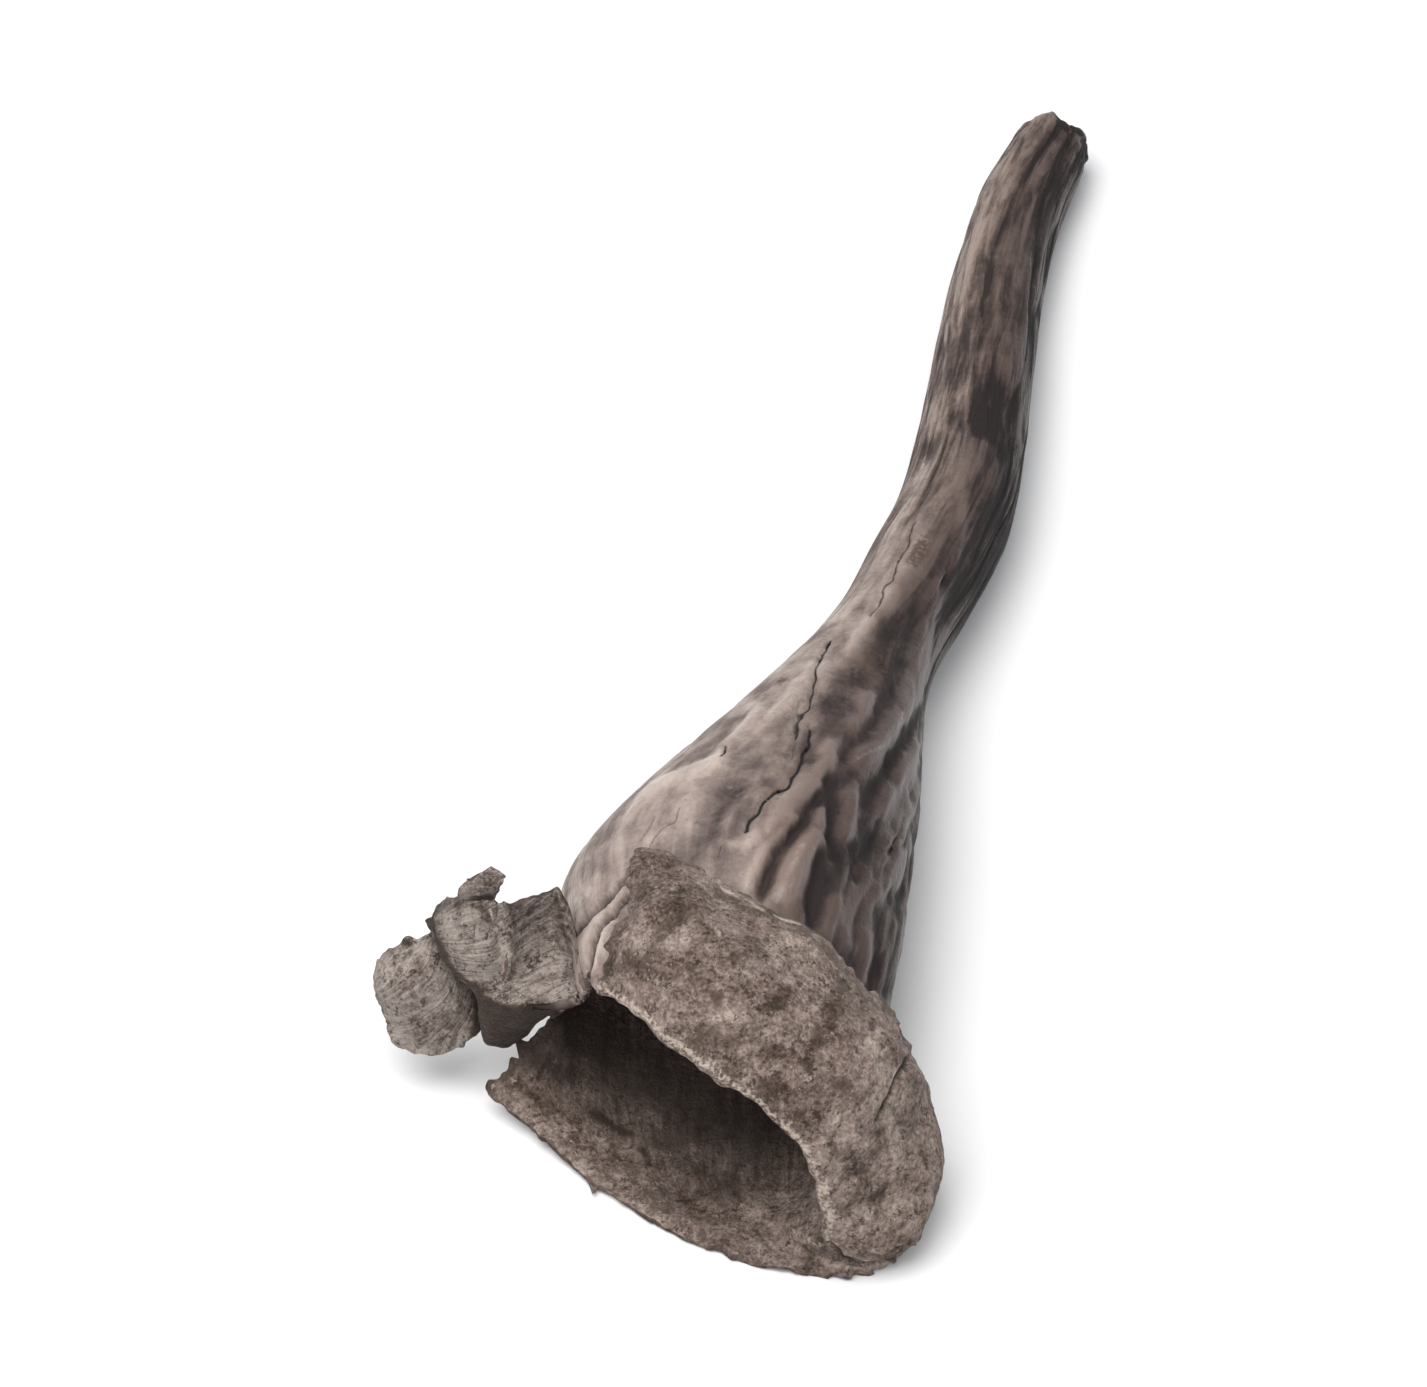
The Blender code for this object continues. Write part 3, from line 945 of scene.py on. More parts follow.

    # Pale bloom, streaks and rims of the outer skin, with painted highlights on blister rims and on the lit
    # left of the neck
    pale: Strokes = strokes(
        (0.3, 0.62, *OUTER_ROLL), (0.18, 0.8, *INNER_ROLL),
        (0.13, 0.9, (-5.2, -7.3), (-3.5, -5.5), (-1.5, -4.3), (0.5, -3.75)),
        (0.95, 0.76, (11.6, 12.6), (10.6, 11.0), (8.4, 8.0), (6.2, 5.1), (4.2, 2.2), (3.1, 0.6)),
        (0.2, 0.45, (9.7, 5.7), (8.2, 3.1), (7.4, 2.0)),
        (0.55, 0.45, (0.8, -5.2), (2.2, -6.1), (4.0, -6.3)),
        (0.55, 0.48, (8.1, 1.3), (7.65, 0.3), (7.3, -0.7)), (0.45, 0.35, (6.9, -4.4), (7.2, -5.6)),
        (0.22, 0.35, (1.65, -8.05), (0.95, -8.6), (1.8, -8.75), (2.8, -8.05), (3.4, -6.9)),
        (0.42, 0.55, (4.7, -8.9), (4.0, -10.6)), (0.16, 0.6, (3.7, -11.45), (4.2, -11.1)),
        (0.22, 0.55, (7.8, -3.9), (9.6, -2.9), (10.2, -1.2)), (0.25, 0.4, (9.1, 0.8), (8.5, -0.3)),
        (0.32, 0.35, (11.9, -0.6), (11.2, -2.9), (10.8, -5.2)),
        (0.5, 0.3, (-3.5, -5.9), (-1.4, -5.4), (0.5, -5.1)), (0.3, 0.25, (6.1, -7.4), (6.9, -9.2)),
        (0.4, 0.3, (5.9, -12.6), (6.6, -14.6)), (0.3, 0.3, (8.5, -14.0), (8.3, -15.9)),
    )

    # Darker stretches of the outer skin: mostly painted shade in the tear's crevices, under the torn strip
    # and on the neck, with some darker tone
    dark_tone_and_shade: Strokes = strokes(
        (0.7, 0.04, (12.0, 9.3), (13.1, 6.5), (10.8, 3.6), (7.7, 0.8), (6.8, -1.8), (6.2, -4.6)),
        (1.1, 0.95, (15.9, 12.6), (15.3, 9.8), (14.8, 7.0)), (0.9, 0.45, (13.6, 12.6), (13.2, 10.4)),
        (0.45, 0.45, (6.2, -4.6), (6.0, -8.6), (5.6, -12.0)), (0.35, 0.8, (3.4, 0.4), (2.6, -0.3)),
        (0.45, 0.35, (7.6, -6.0), (8.6, -8.6), (8.9, -11.2)),
        (0.4, 0.35, (11.5, -5.5), (10.9, -8.5), (10.2, -12.5)), (0.15, 1.2, *OUTER_CREVICE),
        (0.09, 1.2, *INNER_CREVICE), (0.8, 1.5, (-12.4, -18.4), (-11.2, -18.6), (-10.0, -18.3)),
        (0.55, 1.5, (-10.4, -18.2), (-8.8, -18.0), (-7.4, -17.75), (-6.6, -17.5)),
    )

    # Brown stains of the outer skin
    stains: Strokes = strokes(
        (0.55, 0.9, (11.8, 8.2), (11.2, 7.15)), (0.6, 0.5, (12.6, 10.6), (12.2, 9.4)),
        (0.34, 1.4, (3.87, 0.47)), (0.3, 0.4, (4.2, 0.6), (4.9, 0.95)),
        (0.22, 0.8, (7.5, 3.2), (7.4, 2.46)), (0.45, 0.6, (8.45, 1.55), (9.75, 2.1)),
        (0.35, 0.7, (8.7, 0.7), (9.6, 1.2)), (0.25, 0.5, (10.9, 1.6), (11.2, 2.6)),
        (0.45, 0.3, (7.7, -8.7), (7.8, -10.3)), (0.2, 0.4, (0.1, -3.7), (-0.6, -3.3)),
        (0.12, 0.9, (2.7, -1.55)), (0.2, 0.6, (1.0, -1.75), (0.3, -2.2)),
    )

    # Dark blotches and pale spots of the suede that faces up
    blotches: Strokes = strokes(
        (0.55, -0.8, (1.75, -16.7)), (0.45, -0.9, (3.1, -17.7), (4.1, -16.9)),
        (0.34, -1.0, (6.6, -17.6), (6.4, -18.9), (5.45, -19.9), (5.2, -21.1)),
        (0.5, -0.6, (3.2, -20.1), (3.9, -20.3)), (0.45, -0.5, (3.2, -22.3), (4.9, -22.1)),
        (0.6, -0.7, (7.6, -26.5)), (0.5, -0.7, (7.2, -28.5), (9.4, -28.1)),
        (0.55, -0.6, (-1.9, -12.8), (-1.5, -11.6)), (0.4, -0.6, (-3.2, -12.6)),
        (0.45, -0.5, (-5.8, -14.9), (-5.2, -16.6)), (0.75, 0.6, (-4.3, -14.1)),
        (0.5, 0.6, (-2.4, -14.0), (-1.5, -14.3)), (0.4, 0.8, (-5.2, -16.1), (-4.4, -16.6)),
        (0.95, 0.6, (4.9, -17.9)), (0.7, 0.5, (1.2, -18.2)), (0.45, 0.7, (7.6, -13.8), (5.8, -13.6)),
        (0.9, 0.4, (7.5, -20.8), (8.6, -22.6)), (0.3, 1.0, (-6.2, -11.0), (-7.2, -12.6), (-7.9, -14.8)),
    )

    # Painted shade over the throat and its torn left wall, where the folded lip shades them, over the
    # throat's darker colour
    dark_throat_and_shade: Strokes = strokes(
        (2.6, 0.95, (-8.6, -18.6), (-5.0, -20.8), (-1.0, -22.9), (2.4, -24.8)),
        (1.9, 0.5, (-9.4, -20.6), (-6.0, -23.0), (-2.4, -25.6), (0.8, -27.4)),
        (1.5, 0.9, (-11.4, -19.8), (-9.7, -18.3), (-8.6, -17.6)),
        (1.15, 0.88, (-10.9, -19.9), (-9.5, -20.6), (-8.2, -21.4)),
    )

    # Lighter and darker stretches of the suede, real tone with painted light on hems, rims and the rib and
    # painted
    # shade in folds and under overhangs: folded lip, lower lip, then the torn strip
    shades: Strokes = strokes(
        (0.7, -0.3, (-1.43, -18.69), (1.43, -21.19), (4.29, -22.6), (5.0, -24.0)),
        (0.6, -0.35, (2.5, -17.2), (5.7, -18.0)), (1.6, -0.28, (-4.3, -11.2), (-2.4, -12.4)),
        (1.2, 0.5, (8.8, -19.6), (9.6, -22.6), (10.0, -26.0)), (1.2, -0.24, (-2.0, -13.0), (0.3, -14.5)),
        (0.11, 0.85, (0.32, -10.8), (1.6, -11.6), (2.7, -12.4)), (0.1, 0.85, (3.3, -12.6), (4.8, -13.2)),
        (0.12, 0.9, (7.2, -15.0), (8.1, -15.6)), (0.1, 0.9, (10.2, -21.05), (9.75, -21.85)),
        (0.9, 0.28, (8.57, -29.76), (11.43, -28.3)),
        (0.25, 0.5, (6.5, -32.1), (8.57, -32.2), (11.07, -31.3), (12.1, -30.0)),
        (0.75, 0.45, (-4.16, -14.15)), (0.5, -0.45, (-4.27, -15.13)),
        (0.45, 0.45, (-2.3, -14.0), (-1.5, -14.1)), (0.35, -0.35, (-5.5, -14.4), (-5.9, -15.4)),
        (0.45, -0.35, (-3.85, -9.3), (-2.6, -9.9)),
        (0.45, -0.4, (-2.3, -11.6), (-1.4, -12.4), (-0.6, -13.2)),
        (0.35, -0.3, (-3.6, -12.6), (-2.4, -12.9)), (0.5, -0.4, (6.4, -17.6), (6.2, -19.2), (5.4, -20.2)),
        (0.6, -0.4, (7.6, -26.2), (9.2, -28.2)), (0.55, 0.3, (6.3, -22.6), (6.9, -24.8), (6.6, -27.6)),
        (0.55, 0.42, (-11.4, -23.15), (-7.5, -26.4), (-3.9, -29.2), (0.0, -31.5), (3.6, -32.6)),
        (0.38, -0.35, (-11.07, -22.1), (-7.5, -24.2), (-3.93, -26.9), (0.0, -29.6)),
        (0.3, -0.7, (-13.2, -22.55), (-11.6, -20.9), (-10.8, -19.6)),
        (0.36, -1.0, (-13.3, -22.5), (-12.6, -22.8)),
        (0.2, -1.1, (-6.9, -23.75), (-5.8, -24.2), (-4.75, -24.75)),
        (0.22, -1.0, (-3.95, -25.7), (-3.5, -26.6)),
        (0.45, 0.4, (-8.9, -24.6), (-7.3, -24.7), (-6.0, -25.2)),
        (0.8, -0.5, (-9.0, -11.6), (-8.6, -13.0), (-8.0, -14.6), (-7.6, -15.8)),
        (0.2, -0.8, (-8.8, -11.2), (-8.3, -12.9), (-7.6, -15.0), (-7.4, -16.6)),
        (0.3, -0.65, (-13.56, -11.6), (-12.56, -12.6), (-11.99, -13.76)),
        (0.15, 1.6, (-12.56, -12.2), (-12.11, -13.36)), (0.12, 1.1, (-12.11, -13.36), (-11.4, -14.8)),
        (0.32, -1.15, (-15.75, -12.45), (-15.3, -13.65), (-14.7, -15.0), (-13.8, -16.0), (-13.0, -16.5)),
        (0.6, 0.45, (-14.84, -12.19), (-14.27, -13.9), (-13.27, -15.6)),
        (0.1, 0.4, (-12.99, -16.6), (-11.7, -17.2), (-9.7, -17.45), (-7.56, -17.2)),
        (0.45, 0.4, (-11.8, -16.2), (-9.8, -16.75), (-8.2, -16.6)),
        (1.1, -0.45, (-11.2, -12.3), (-9.6, -12.8)), (0.6, 0.35, (-13.0, -14.4), (-12.2, -15.8)),
        (0.36, -0.95, (-15.9, -12.6), (-15.2, -12.05), (-14.2, -11.85)),
        (0.16, -0.4, (-15.2, -18.6), (-13.9, -18.1)), (0.3, -0.55, (2.8, -30.25), (2.3, -30.9)),
        (0.25, -0.6, (-0.99, -26.3)), (0.22, -0.6, (1.43, -28.2)), (0.15, -0.5, (1.96, -27.5)),
        (0.16, -0.9, (5.85, -30.3), (6.25, -31.0)), (0.8, 0.25, (0.6, -28.7), (3.4, -28.9), (5.2, -29.2)),
        (0.3, 0.45, (-18.8, -14.9), (-18.84, -16.9), (-17.7, -18.9), (-15.99, -19.97)),
        (0.6, 0.35, (-18.1, -14.6), (-17.2, -15.4)), (0.24, -1.2, (-17.3, -13.9), (-17.0, -14.1)),
        (0.55, 0.4, (-18.4, -15.6), (-18.5, -17.2), (-17.6, -18.6)),
        (0.42, -0.6, (-15.6, -13.95), (-15.05, -15.25), (-14.15, -16.5), (-13.2, -17.1)),
        (0.14, -0.55, (-16.9, -18.15), (-15.2, -17.95), (-13.7, -17.55)),
        (0.12, -0.5, (-16.4, -18.85), (-14.9, -18.6), (-13.6, -18.2)),
        (0.5, -0.3, (-16.5, -15.6), (-16.1, -16.9)),
    )

    # Creases and pleats of the folded lip: the crease on the right roll and the pleat below it. They are
    # pressed in, and painted shade darkens them
    creases: Strokes = strokes(
        (0.11, 1.1, (10.85, -20.35), (10.45, -21.1), (9.95, -22.0), (9.5, -22.9), (9.1, -23.9)),
        (0.13, 0.9, (6.05, -30.31), (7.29, -31.43), (9.09, -31.77), (10.54, -31.43), (11.33, -30.76)),
        (0.12, 0.45, (11.33, -30.76), (11.78, -30.08), (12.05, -29.2)),
        (0.09, 0.45, (8.6, -31.3), (9.6, -31.35), (10.6, -30.9)),
        (0.14, 0.22, (2.94, -30.78), (3.66, -31.76), (4.55, -32.47)),
        (0.13, 0.55, (-1.16, -30.15), (-1.79, -30.7)),
        (0.09, 0.4, (-7.9, -25.8), (-6.9, -25.85), (-5.8, -25.65)),
        (0.1, 0.5, (-3.66, -26.5), (-3.04, -26.45)), (0.1, 0.5, (-2.41, -27.83), (-1.88, -27.2)),
        (0.1, 0.5, (-2.06, -28.45), (-1.52, -27.74)), (0.1, 0.45, (-2.86, -26.76), (-3.13, -27.4)),
        (0.24, 0.9, (-6.2, -12.7), (-6.6, -13.9), (-6.4, -15.3)),
    )

    # Spurs and notches of the torn margin. A negative strength cuts in
    spurs: Strokes = strokes(
        (0.24, 0.8, (-6.7, -27.3)), (0.45, 0.55, (-13.2, -22.6)), (0.22, 0.6, (-13.3, -22.5)),
        (0.4, -0.55, (-12.3, -21.1), (-11.9, -20.7)), (0.3, 0.5, (-11.2, -20.7)),
        (0.3, 0.5, (-10.8, -19.7)), (0.3, 0.5, (-10.4, -18.8)), (0.22, -0.5, (-11.0, -20.2)),
        (0.22, -0.5, (-10.6, -19.2)), (0.4, 0.5, (8.1, -16.3)), (0.4, 0.4, (3.6, -13.1)),
        (0.28, -0.5, (5.2, -14.0)), (0.22, -0.4, (1.6, -12.1)), (0.22, 0.4, (6.6, -15.0)),
        (0.24, 0.6, (-4.45, -8.75)), (0.34, -0.55, (-5.1, -9.6), (-5.1, -10.2)),
        (0.42, -0.35, (-3.1, -8.65), (-2.1, -8.8)),
        (0.42, -0.85, (-5.2, -11.2), (-5.4, -11.8), (-5.5, -12.3)), (0.22, 0.35, (-4.7, -10.3)),
        (0.3, -0.3, (-13.1, -11.3), (-12.6, -11.5)), (0.32, 0.6, (-8.75, -11.1)),
        (0.3, -0.2, (-9.6, -11.4)), (0.35, -0.3, (-15.9, -11.9)), (0.36, 0.3, (-17.2, -13.85)),
        (0.22, -0.3, (-16.6, -14.0)), (0.22, 0.25, (-17.5, -19.5)), (0.22, 0.25, (-14.15, -19.6)),
        (0.25, 0.25, (-12.7, -19.3)), (0.22, -0.25, (-12.2, -19.7)), (0.25, 0.25, (-11.7, -19.8)),
        (0.25, 0.28, (-10.6, -18.95)), (0.35, 0.35, (7.4, -32.6), (8.6, -32.5)), (0.4, -0.2, (6.9, -32.95)),
        (0.3, 0.55, (7.9, -15.6)), (0.25, -0.35, (8.6, -16.6)),
    )


def read_floats(items: bpy.types.bpy_prop_collection, name: str, width: int) -> Array:
    """Read one value of every item as rows of the given width."""
    values = np.zeros(len(items) * width)
    items.foreach_get(name, values)
    return values.reshape(-1, width)


def write_marks(mesh: bpy.types.Mesh, name: str, values: Array) -> None:
    """Store one number for each point of the mesh, under the given name."""
    if name in mesh.attributes:
        mesh.attributes.remove(mesh.attributes[name])
    layer = mesh.attributes.new(name, "FLOAT", "POINT")
    layer.data.foreach_set("value", values.astype(np.float32))


@dataclass
class WallSculptor:
    """Works the smoothed wall like clay: torn margins first, then the skin and the suede."""

    plane: DrawingPlane = field(default_factory=DrawingPlane)
    marks: TrumpetMarks = field(default_factory=TrumpetMarks)

    # Places around the rim in all, and where the lower lip and the upper one start and end
    rim_count: int = 16
    lower_start: Span = (8.0, 8.8)
    lower_end: Span = (13.0, 13.8)
    upper_start: Span = (15.7, 16.0)
    upper_end: Span = (8.2, 9.0)

    # How far skin and suede have to face the viewer: for the skin's marks, for its drawn ridges, for its
    # painted shade, for the suede's marks, for the throat's painted shade and for cracks
    facing_span: Span = (0.08, 0.40)
    seen_span: Span = (-0.30, 0.05)
    turned_span: Span = (-0.12, 0.10)
    open_span: Span = (0.0, 0.25)
    inward_span: Span = (-0.1, 0.15)
    skin_facing: float = 0.05

    # Where the suede's marks start, where the throat's painted shade starts, and how far in the throat's
    # darker colour and painted shade grow, by the crest
    open_crest: Span = (-1.5, 0.5)
    throat_crest: Span = (-0.2, 0.8)
    depth_span: Span = (0.5, 12.0)

    # Where the funnel flares, the stem fades and the root end is rough, from the root end
    flare_span: Span = (44.0, 66.0)
    stem_span: Span = (40.0, 64.0)
    stem_tone_span: Span = (33.0, 57.0)
    root_span: Span = (0.5, 5.0)

    # Where drawn ridges take the place of chance ones: from the mouth up to the neck on the plane
    mouth_span: Span = (-19.0, -16.0)
    neck_span: Span = (5.0, 10.0)
    neck_share: float = 0.4
    drawn_calm: float = 0.90

    # The side of the skin that is pale, with painted light: which way it faces, towards the light, and where
    # paleness starts and ends
    lit_towards: Point = (-1.0, 0.0, 0.15)
    lit_span: Span = (-0.30, 0.50)
    pale_drift: Layer = Layer(0.30, (4.0, 4.0, 12.0), 41)

    # The side of the skin that is darkest, with painted shade: which way it faces, away from the light, and
    # where darkness starts and ends
    shaded_towards: Point = (1.0, 0.0, -0.15)
    shaded_span: Span = (0.05, 0.75)

    # The pale line on the folded lip, a painted highlight along its crest over pale flesh: how far beyond
    # the crest it is, and how wide
    crest_place: float = 0.25
    crest_width: float = 0.26

    # The painted shade on the under side of the torn strip: between which places it starts, how dark it is,
    # and where on the drawing plane it ends to the left
    hem_span: Span = (13.70, 13.88)
    under_shade: float = 1.15
    under_end: Span = (-14.2, -13.2)

    # Torn margin: how far in it is worked, how wide its edge, tears and curls fade, how calm the skin is
    # there, and how much it is thinned and over which width
    margin_reach: float = 2.4
    margin_rounds: int = 3
    edge_width: float = 0.5
    edge_calm: float = 0.8
    tear_width: float = 1.3
    curl_width: float = 1.1
    margin_thinning: float = 0.14
    thinning_width: float = 0.8

    # The tears: long waves, ragged teeth, chips that are cut in, and the curl of the margin
    waves: Layer = Layer(0.15, 2.6, 3)
    teeth: Layer = Layer(0.32, 0.90, 4)
    fine_teeth: Layer = Layer(0.30, 0.42, 10)
    raggedness: Layer = Layer(1.0, 3.2, 7)
    ragged_span: Span = (-0.25, 0.35)
    least_ragged: float = 0.45
    chips: Layer = Layer(1.0, 1.25, 5)
    chip_start: float = 0.42
    chip_depth: float = 0.75
    curls: Layer = Layer(0.22, 2.4, 6)

    # How strong the tears are on the strip and low over the floor, and the least for the fine teeth
    strip_tears: float = 0.35
    low_tears: float = 0.55
    low_place: float = 2.0
    least_fine: float = 0.5

    # The least distance that the wall's two sides keep, and how far down the wall has to face for its
    # inner side to be kept above the outer one
    least_wall: float = 0.17
    lying: float = -0.3

    # How the lowest parts settle: up to which height, and how far they sink
    settle_span: Span = (0.2, 1.6)
    settle_depth: float = 0.12

    # Buckling of the whole wall beyond the crest, where it lies free of the floor
    buckles: Layer = Layer(0.24, 4.2, 8)
    small_buckles: Layer = Layer(0.12, 4.2 / 2.2, 9)
    free_span: Span = (-1.0, 3.0)
    lifted_span: Span = (0.8, 3.0)

    # How the skin's noises are bent, and how much of that the straight stem has
    warp_size: Point = (3.0, 3.0, 6.0)
    warp_seeds: tuple = (11, 12, 13)
    warp_reach: Point = (0.7, 0.7, 1.6)
    stem_warp: float = 0.35

    # Outer skin: blisters between valleys, strongest at one clock angle, and puckers on the right side
    valleys: Lines = Lines(0.20, (2.3, 2.3, 6.5), 14)
    small_valleys: Lines = Lines(0.16, (1.0, 1.0, 3.2), 15)
    blister_rise: float = 0.55
    valley_drop: float = 1.5
    small_drop: float = 0.5
    blister_height: float = 0.42
    blister_clock: float = 150.0
    blister_span: Span = (-0.5, 0.5)
    blister_least: float = 0.45
    puckers: Lines = Lines(0.22, (1.6, 1.6, 6.5), 28)
    pucker_rise: float = 0.4
    pucker_height: float = 0.10
    pucker_span: Span = (-0.35, 0.35)

    # Outer skin: lengthwise wrinkles and fibres, how much of the fine ones the funnel has, how much painted
    # shade darkens their grooves, and the rough root end
    wrinkles: Lines = Lines(0.12, (1.2, 1.2, 34.0), 16)
    wrinkle_depth: float = 0.12
    fine_wrinkles: Lines = Lines(0.12, (0.6, 0.6, 24.0), 17)
    fine_depth: float = 0.05
    fine_least: float = 0.3
    fibre_least: float = 0.4
    groove_shade: float = 0.8
    fine_shade: float = 0.25
    stem_fine_shade: float = 0.45
    groove_relief: float = 0.5
    swell: Layer = Layer(0.20, (1.7, 1.7, 26.0), 18)
    fibres: Layer = Layer(0.042, (0.45, 0.45, 6.0), 20)
    root_lumps: Layer = Layer(0.26, 1.3, 24)
    root_grains: Layer = Layer(0.12, 0.5, 25)

    # The drawn ridges: how strong, how uneven in width, where they end below the crest, how far from
    # the margin the tear's folds start, and the height that counts as full relief
    ridge_gain: float = 1.25
    ridge_wobble: Layer = Layer(0.30, 1.3, 19)
    ridge_end: Span = (-3.0, 0.0)
    fold_span: Span = (0.1, 0.5)
    relief_height: float = 0.3

    # The drawn cracks: depth, reach, how jagged they run, how far beyond the crest, and their raised lips
    crack_depth: float = 0.24
    crack_reach: float = 0.10
    crack_jag: float = 0.10
    crack_end: float = 0.5
    jag_size: float = 0.8
    jag_seeds: tuple = (32, 33)
    crack_wobble: Layer = Layer(0.35, 0.6, 31)
    crack_lip: float = 0.07
    crack_lip_place: float = 0.42
    crack_lip_width: float = 0.20

    # Suede: lumps, pebbles and grains, how much of the first two the strip and the pleats take away,
    # and the creases
    lumps: Layer = Layer(0.25, 2.7, 21)
    strip_lumps: float = 0.72
    deep_lumps: float = 0.5
    pebbles: Layer = Layer(0.12, 0.85, 22)
    strip_pebbles: float = 0.45
    deep_pebbles: float = 0.6
    grains: Layer = Layer(0.035, 0.38, 26)
    crease_depth: float = 0.42

    # Suede: pleats down the throat and on the lower lip, where they start, and their finer ones
    pleats: Layer = Layer(0.30, (1.7, 1.7, 16.0), 23)
    fine_pleats: Layer = Layer(0.075, (0.6, 0.6, 7.0), 27)
    throat_span: Span = (0.5, 4.0)
    lower_span: Span = (1.0, 2.3)
    lower_share: float = 0.7
    shade_drift: Layer = Layer(0.35, 0.9, 42)

    def read(self, piece: Piece) -> None:
        """Read the wall's middle surface into arrays."""
        mesh = piece.data
        self.count = len(mesh.vertices)
        self.places = read_floats(mesh.vertices, "co", 3) / MM
        self.normals = read_floats(mesh.vertices, "normal", 3)
        self.grown = read_floats(mesh.attributes["grown"].data, "vector", 3)
        self.beyond = read_floats(mesh.attributes["beyond"].data, "value", 1)[:, 0]
        self.patch = read_floats(mesh.attributes["patch"].data, "value", 1)[:, 0]
        self.turn = np.arctan2(self.grown[:, 1], self.grown[:, 0])
        self.broad_normals = self.normals

    def find_margin(self, piece: Piece) -> None:
        """Find how far each point is from the torn margin, and which way is outwards there."""
        mesh = piece.data
        edges = read_floats(mesh.edges, "vertices", 2).astype(int)
        uses = np.zeros(len(edges), int)
        loops = np.zeros(len(mesh.loops), int)
        mesh.loops.foreach_get("edge_index", loops)
        np.add.at(uses, loops, 1)
        margin = np.unique(edges[uses == 1])
        lengths = np.linalg.norm(self.places[edges[:, 0]] - self.places[edges[:, 1]], axis=1)
        beside: list[list[tuple[int, float]]] = [[] for _ in range(self.count)]
        for (first, second), length in zip(edges.tolist(), lengths.tolist()):
            beside[first].append((second, length))
            beside[second].append((first, length))

        distance = np.full(self.count, np.inf)
        source = np.full(self.count, -1)
        distance[margin] = 0.0
        source[margin] = margin
        queue = [(0.0, int(number)) for number in margin]
        heapq.heapify(queue)
        while queue:
            reach, number = heapq.heappop(queue)
            if reach > distance[number] or reach > self.margin_reach:
                continue
            for other, length in beside[number]:
                if reach + length < distance[other]:
                    distance[other] = reach + length
                    source[other] = source[number]
                    heapq.heappush(queue, (reach + length, other))

        on_margin = set(margin.tolist())
        outwards = np.zeros((self.count, 3))
        for number in margin:
            inner = [other for other, _ in beside[number] if other not in on_margin]
            if inner:
                outwards[number] = self.places[number] - self.places[inner].mean(axis=0)
        outwards = unit(outwards)
        rim = edges[uses == 1]
        for _ in range(self.margin_rounds):
            blended = outwards.copy()
            np.add.at(blended, rim[:, 0], outwards[rim[:, 1]])
            np.add.at(blended, rim[:, 1], outwards[rim[:, 0]])
            outwards = unit(blended)
        self.distance = np.where(np.isfinite(distance), distance, self.margin_reach)
        self.source = source
        self.outwards = outwards
        self.edge = fade(self.distance, self.edge_width)

    def tear_margin(self) -> None:
        """Pull the smooth margin out and in, into small teeth, chips and spurs."""
        near = self.source >= 0
        roots = self.source[near]
        spots = self.places[roots]
        ragged = at_least(self.least_ragged, ramp(self.raggedness.at(spots), *self.ragged_span))
        calm = np.where(spots[:, 2] < self.low_place, self.low_tears, 1.0)
        calm = np.where(self.patch[roots] > Patch.STRIP.value - 0.5, self.strip_tears, calm)
        reach = calm * (self.waves.at(spots) + ragged * self.teeth.at(spots))
        reach += np.maximum(calm, self.least_fine) * ragged * self.fine_teeth.at(spots)
        reach -= self.chip_depth * np.maximum(self.chips.at(spots) - self.chip_start, 0.0)
        reach += brush(self.plane.flatten(spots), self.marks.spurs)
        away = self.distance[near]
        self.places[near] += (fade(away, self.tear_width) * reach)[:, None] * self.outwards[roots]
        curl = self.curls.at(spots) * fade(away, self.curl_width)
        self.places[near] += curl[:, None] * self.normals[near]

    def buckle(self) -> None:
        """Let the lip and the strip buckle a little, as drying pulls them."""
        free = ramp(self.beyond, *self.free_span) * ramp(self.places[:, 2], *self.lifted_span)
        lift = self.buckles.at(self.places) + self.small_buckles.at(self.places)
        self.places += (free * lift)[:, None] * self.normals

    def store_places(self, piece: Piece) -> None:
        """Write the places back to the mesh, and read its normals afresh."""
        piece.data.vertices.foreach_set("co", (self.places * MM).ravel())
        piece.data.update()
        self.normals = read_floats(piece.data.vertices, "normal", 3)

    def outer_height(self) -> Array:
        """Return how far the outer skin stands out of the wall."""
        along, up = self.grown[:, 2], self.flat[:, 1]
        warp = np.stack([noise_at(self.grown, self.warp_size, seed) for seed in self.warp_seeds], axis=1)
        warp = warp * np.array(self.warp_reach)
        warped, straight = self.grown + warp, self.grown + self.stem_warp * warp
        flare = ramp(along, *self.flare_span)
        stem = 1.0 - ramp(along, *self.stem_span)
        towards = self.normals @ self.plane.towards()
        self.facing = ramp(towards, *self.facing_span)
        drawn = ramp(towards, *self.seen_span) * ramp(up, *self.mouth_span)
        drawn *= 1.0 - self.neck_share * ramp(up, *self.neck_span)

        blisters = self.blister_rise - self.valley_drop * self.valleys.at(warped)
        blisters *= 1.0 - self.small_drop * self.small_valleys.at(warped)
        strong = ramp(np.cos(self.turn - math.radians(self.blister_clock)), *self.blister_span)
        blisters *= at_least(self.blister_least, strong)
        blisters *= flare * (1.0 - self.drawn_calm * drawn)
        right = ramp(self.broad_normals @ np.array(self.shaded_towards), *self.pucker_span)
        puckers = (self.pucker_rise - self.puckers.at(warped)) * right * flare * drawn

        groove, fine = self.wrinkles.at(straight), self.fine_wrinkles.at(straight)
        wrinkles = stem * (self.swell.at(straight) - self.wrinkle_depth * groove)
        wrinkles -= self.fine_depth * at_least(self.fine_least, stem) * fine
        self.grooves = self.groove_shade * stem * groove
        self.grooves += (self.fine_shade + self.stem_fine_shade * stem) * fine

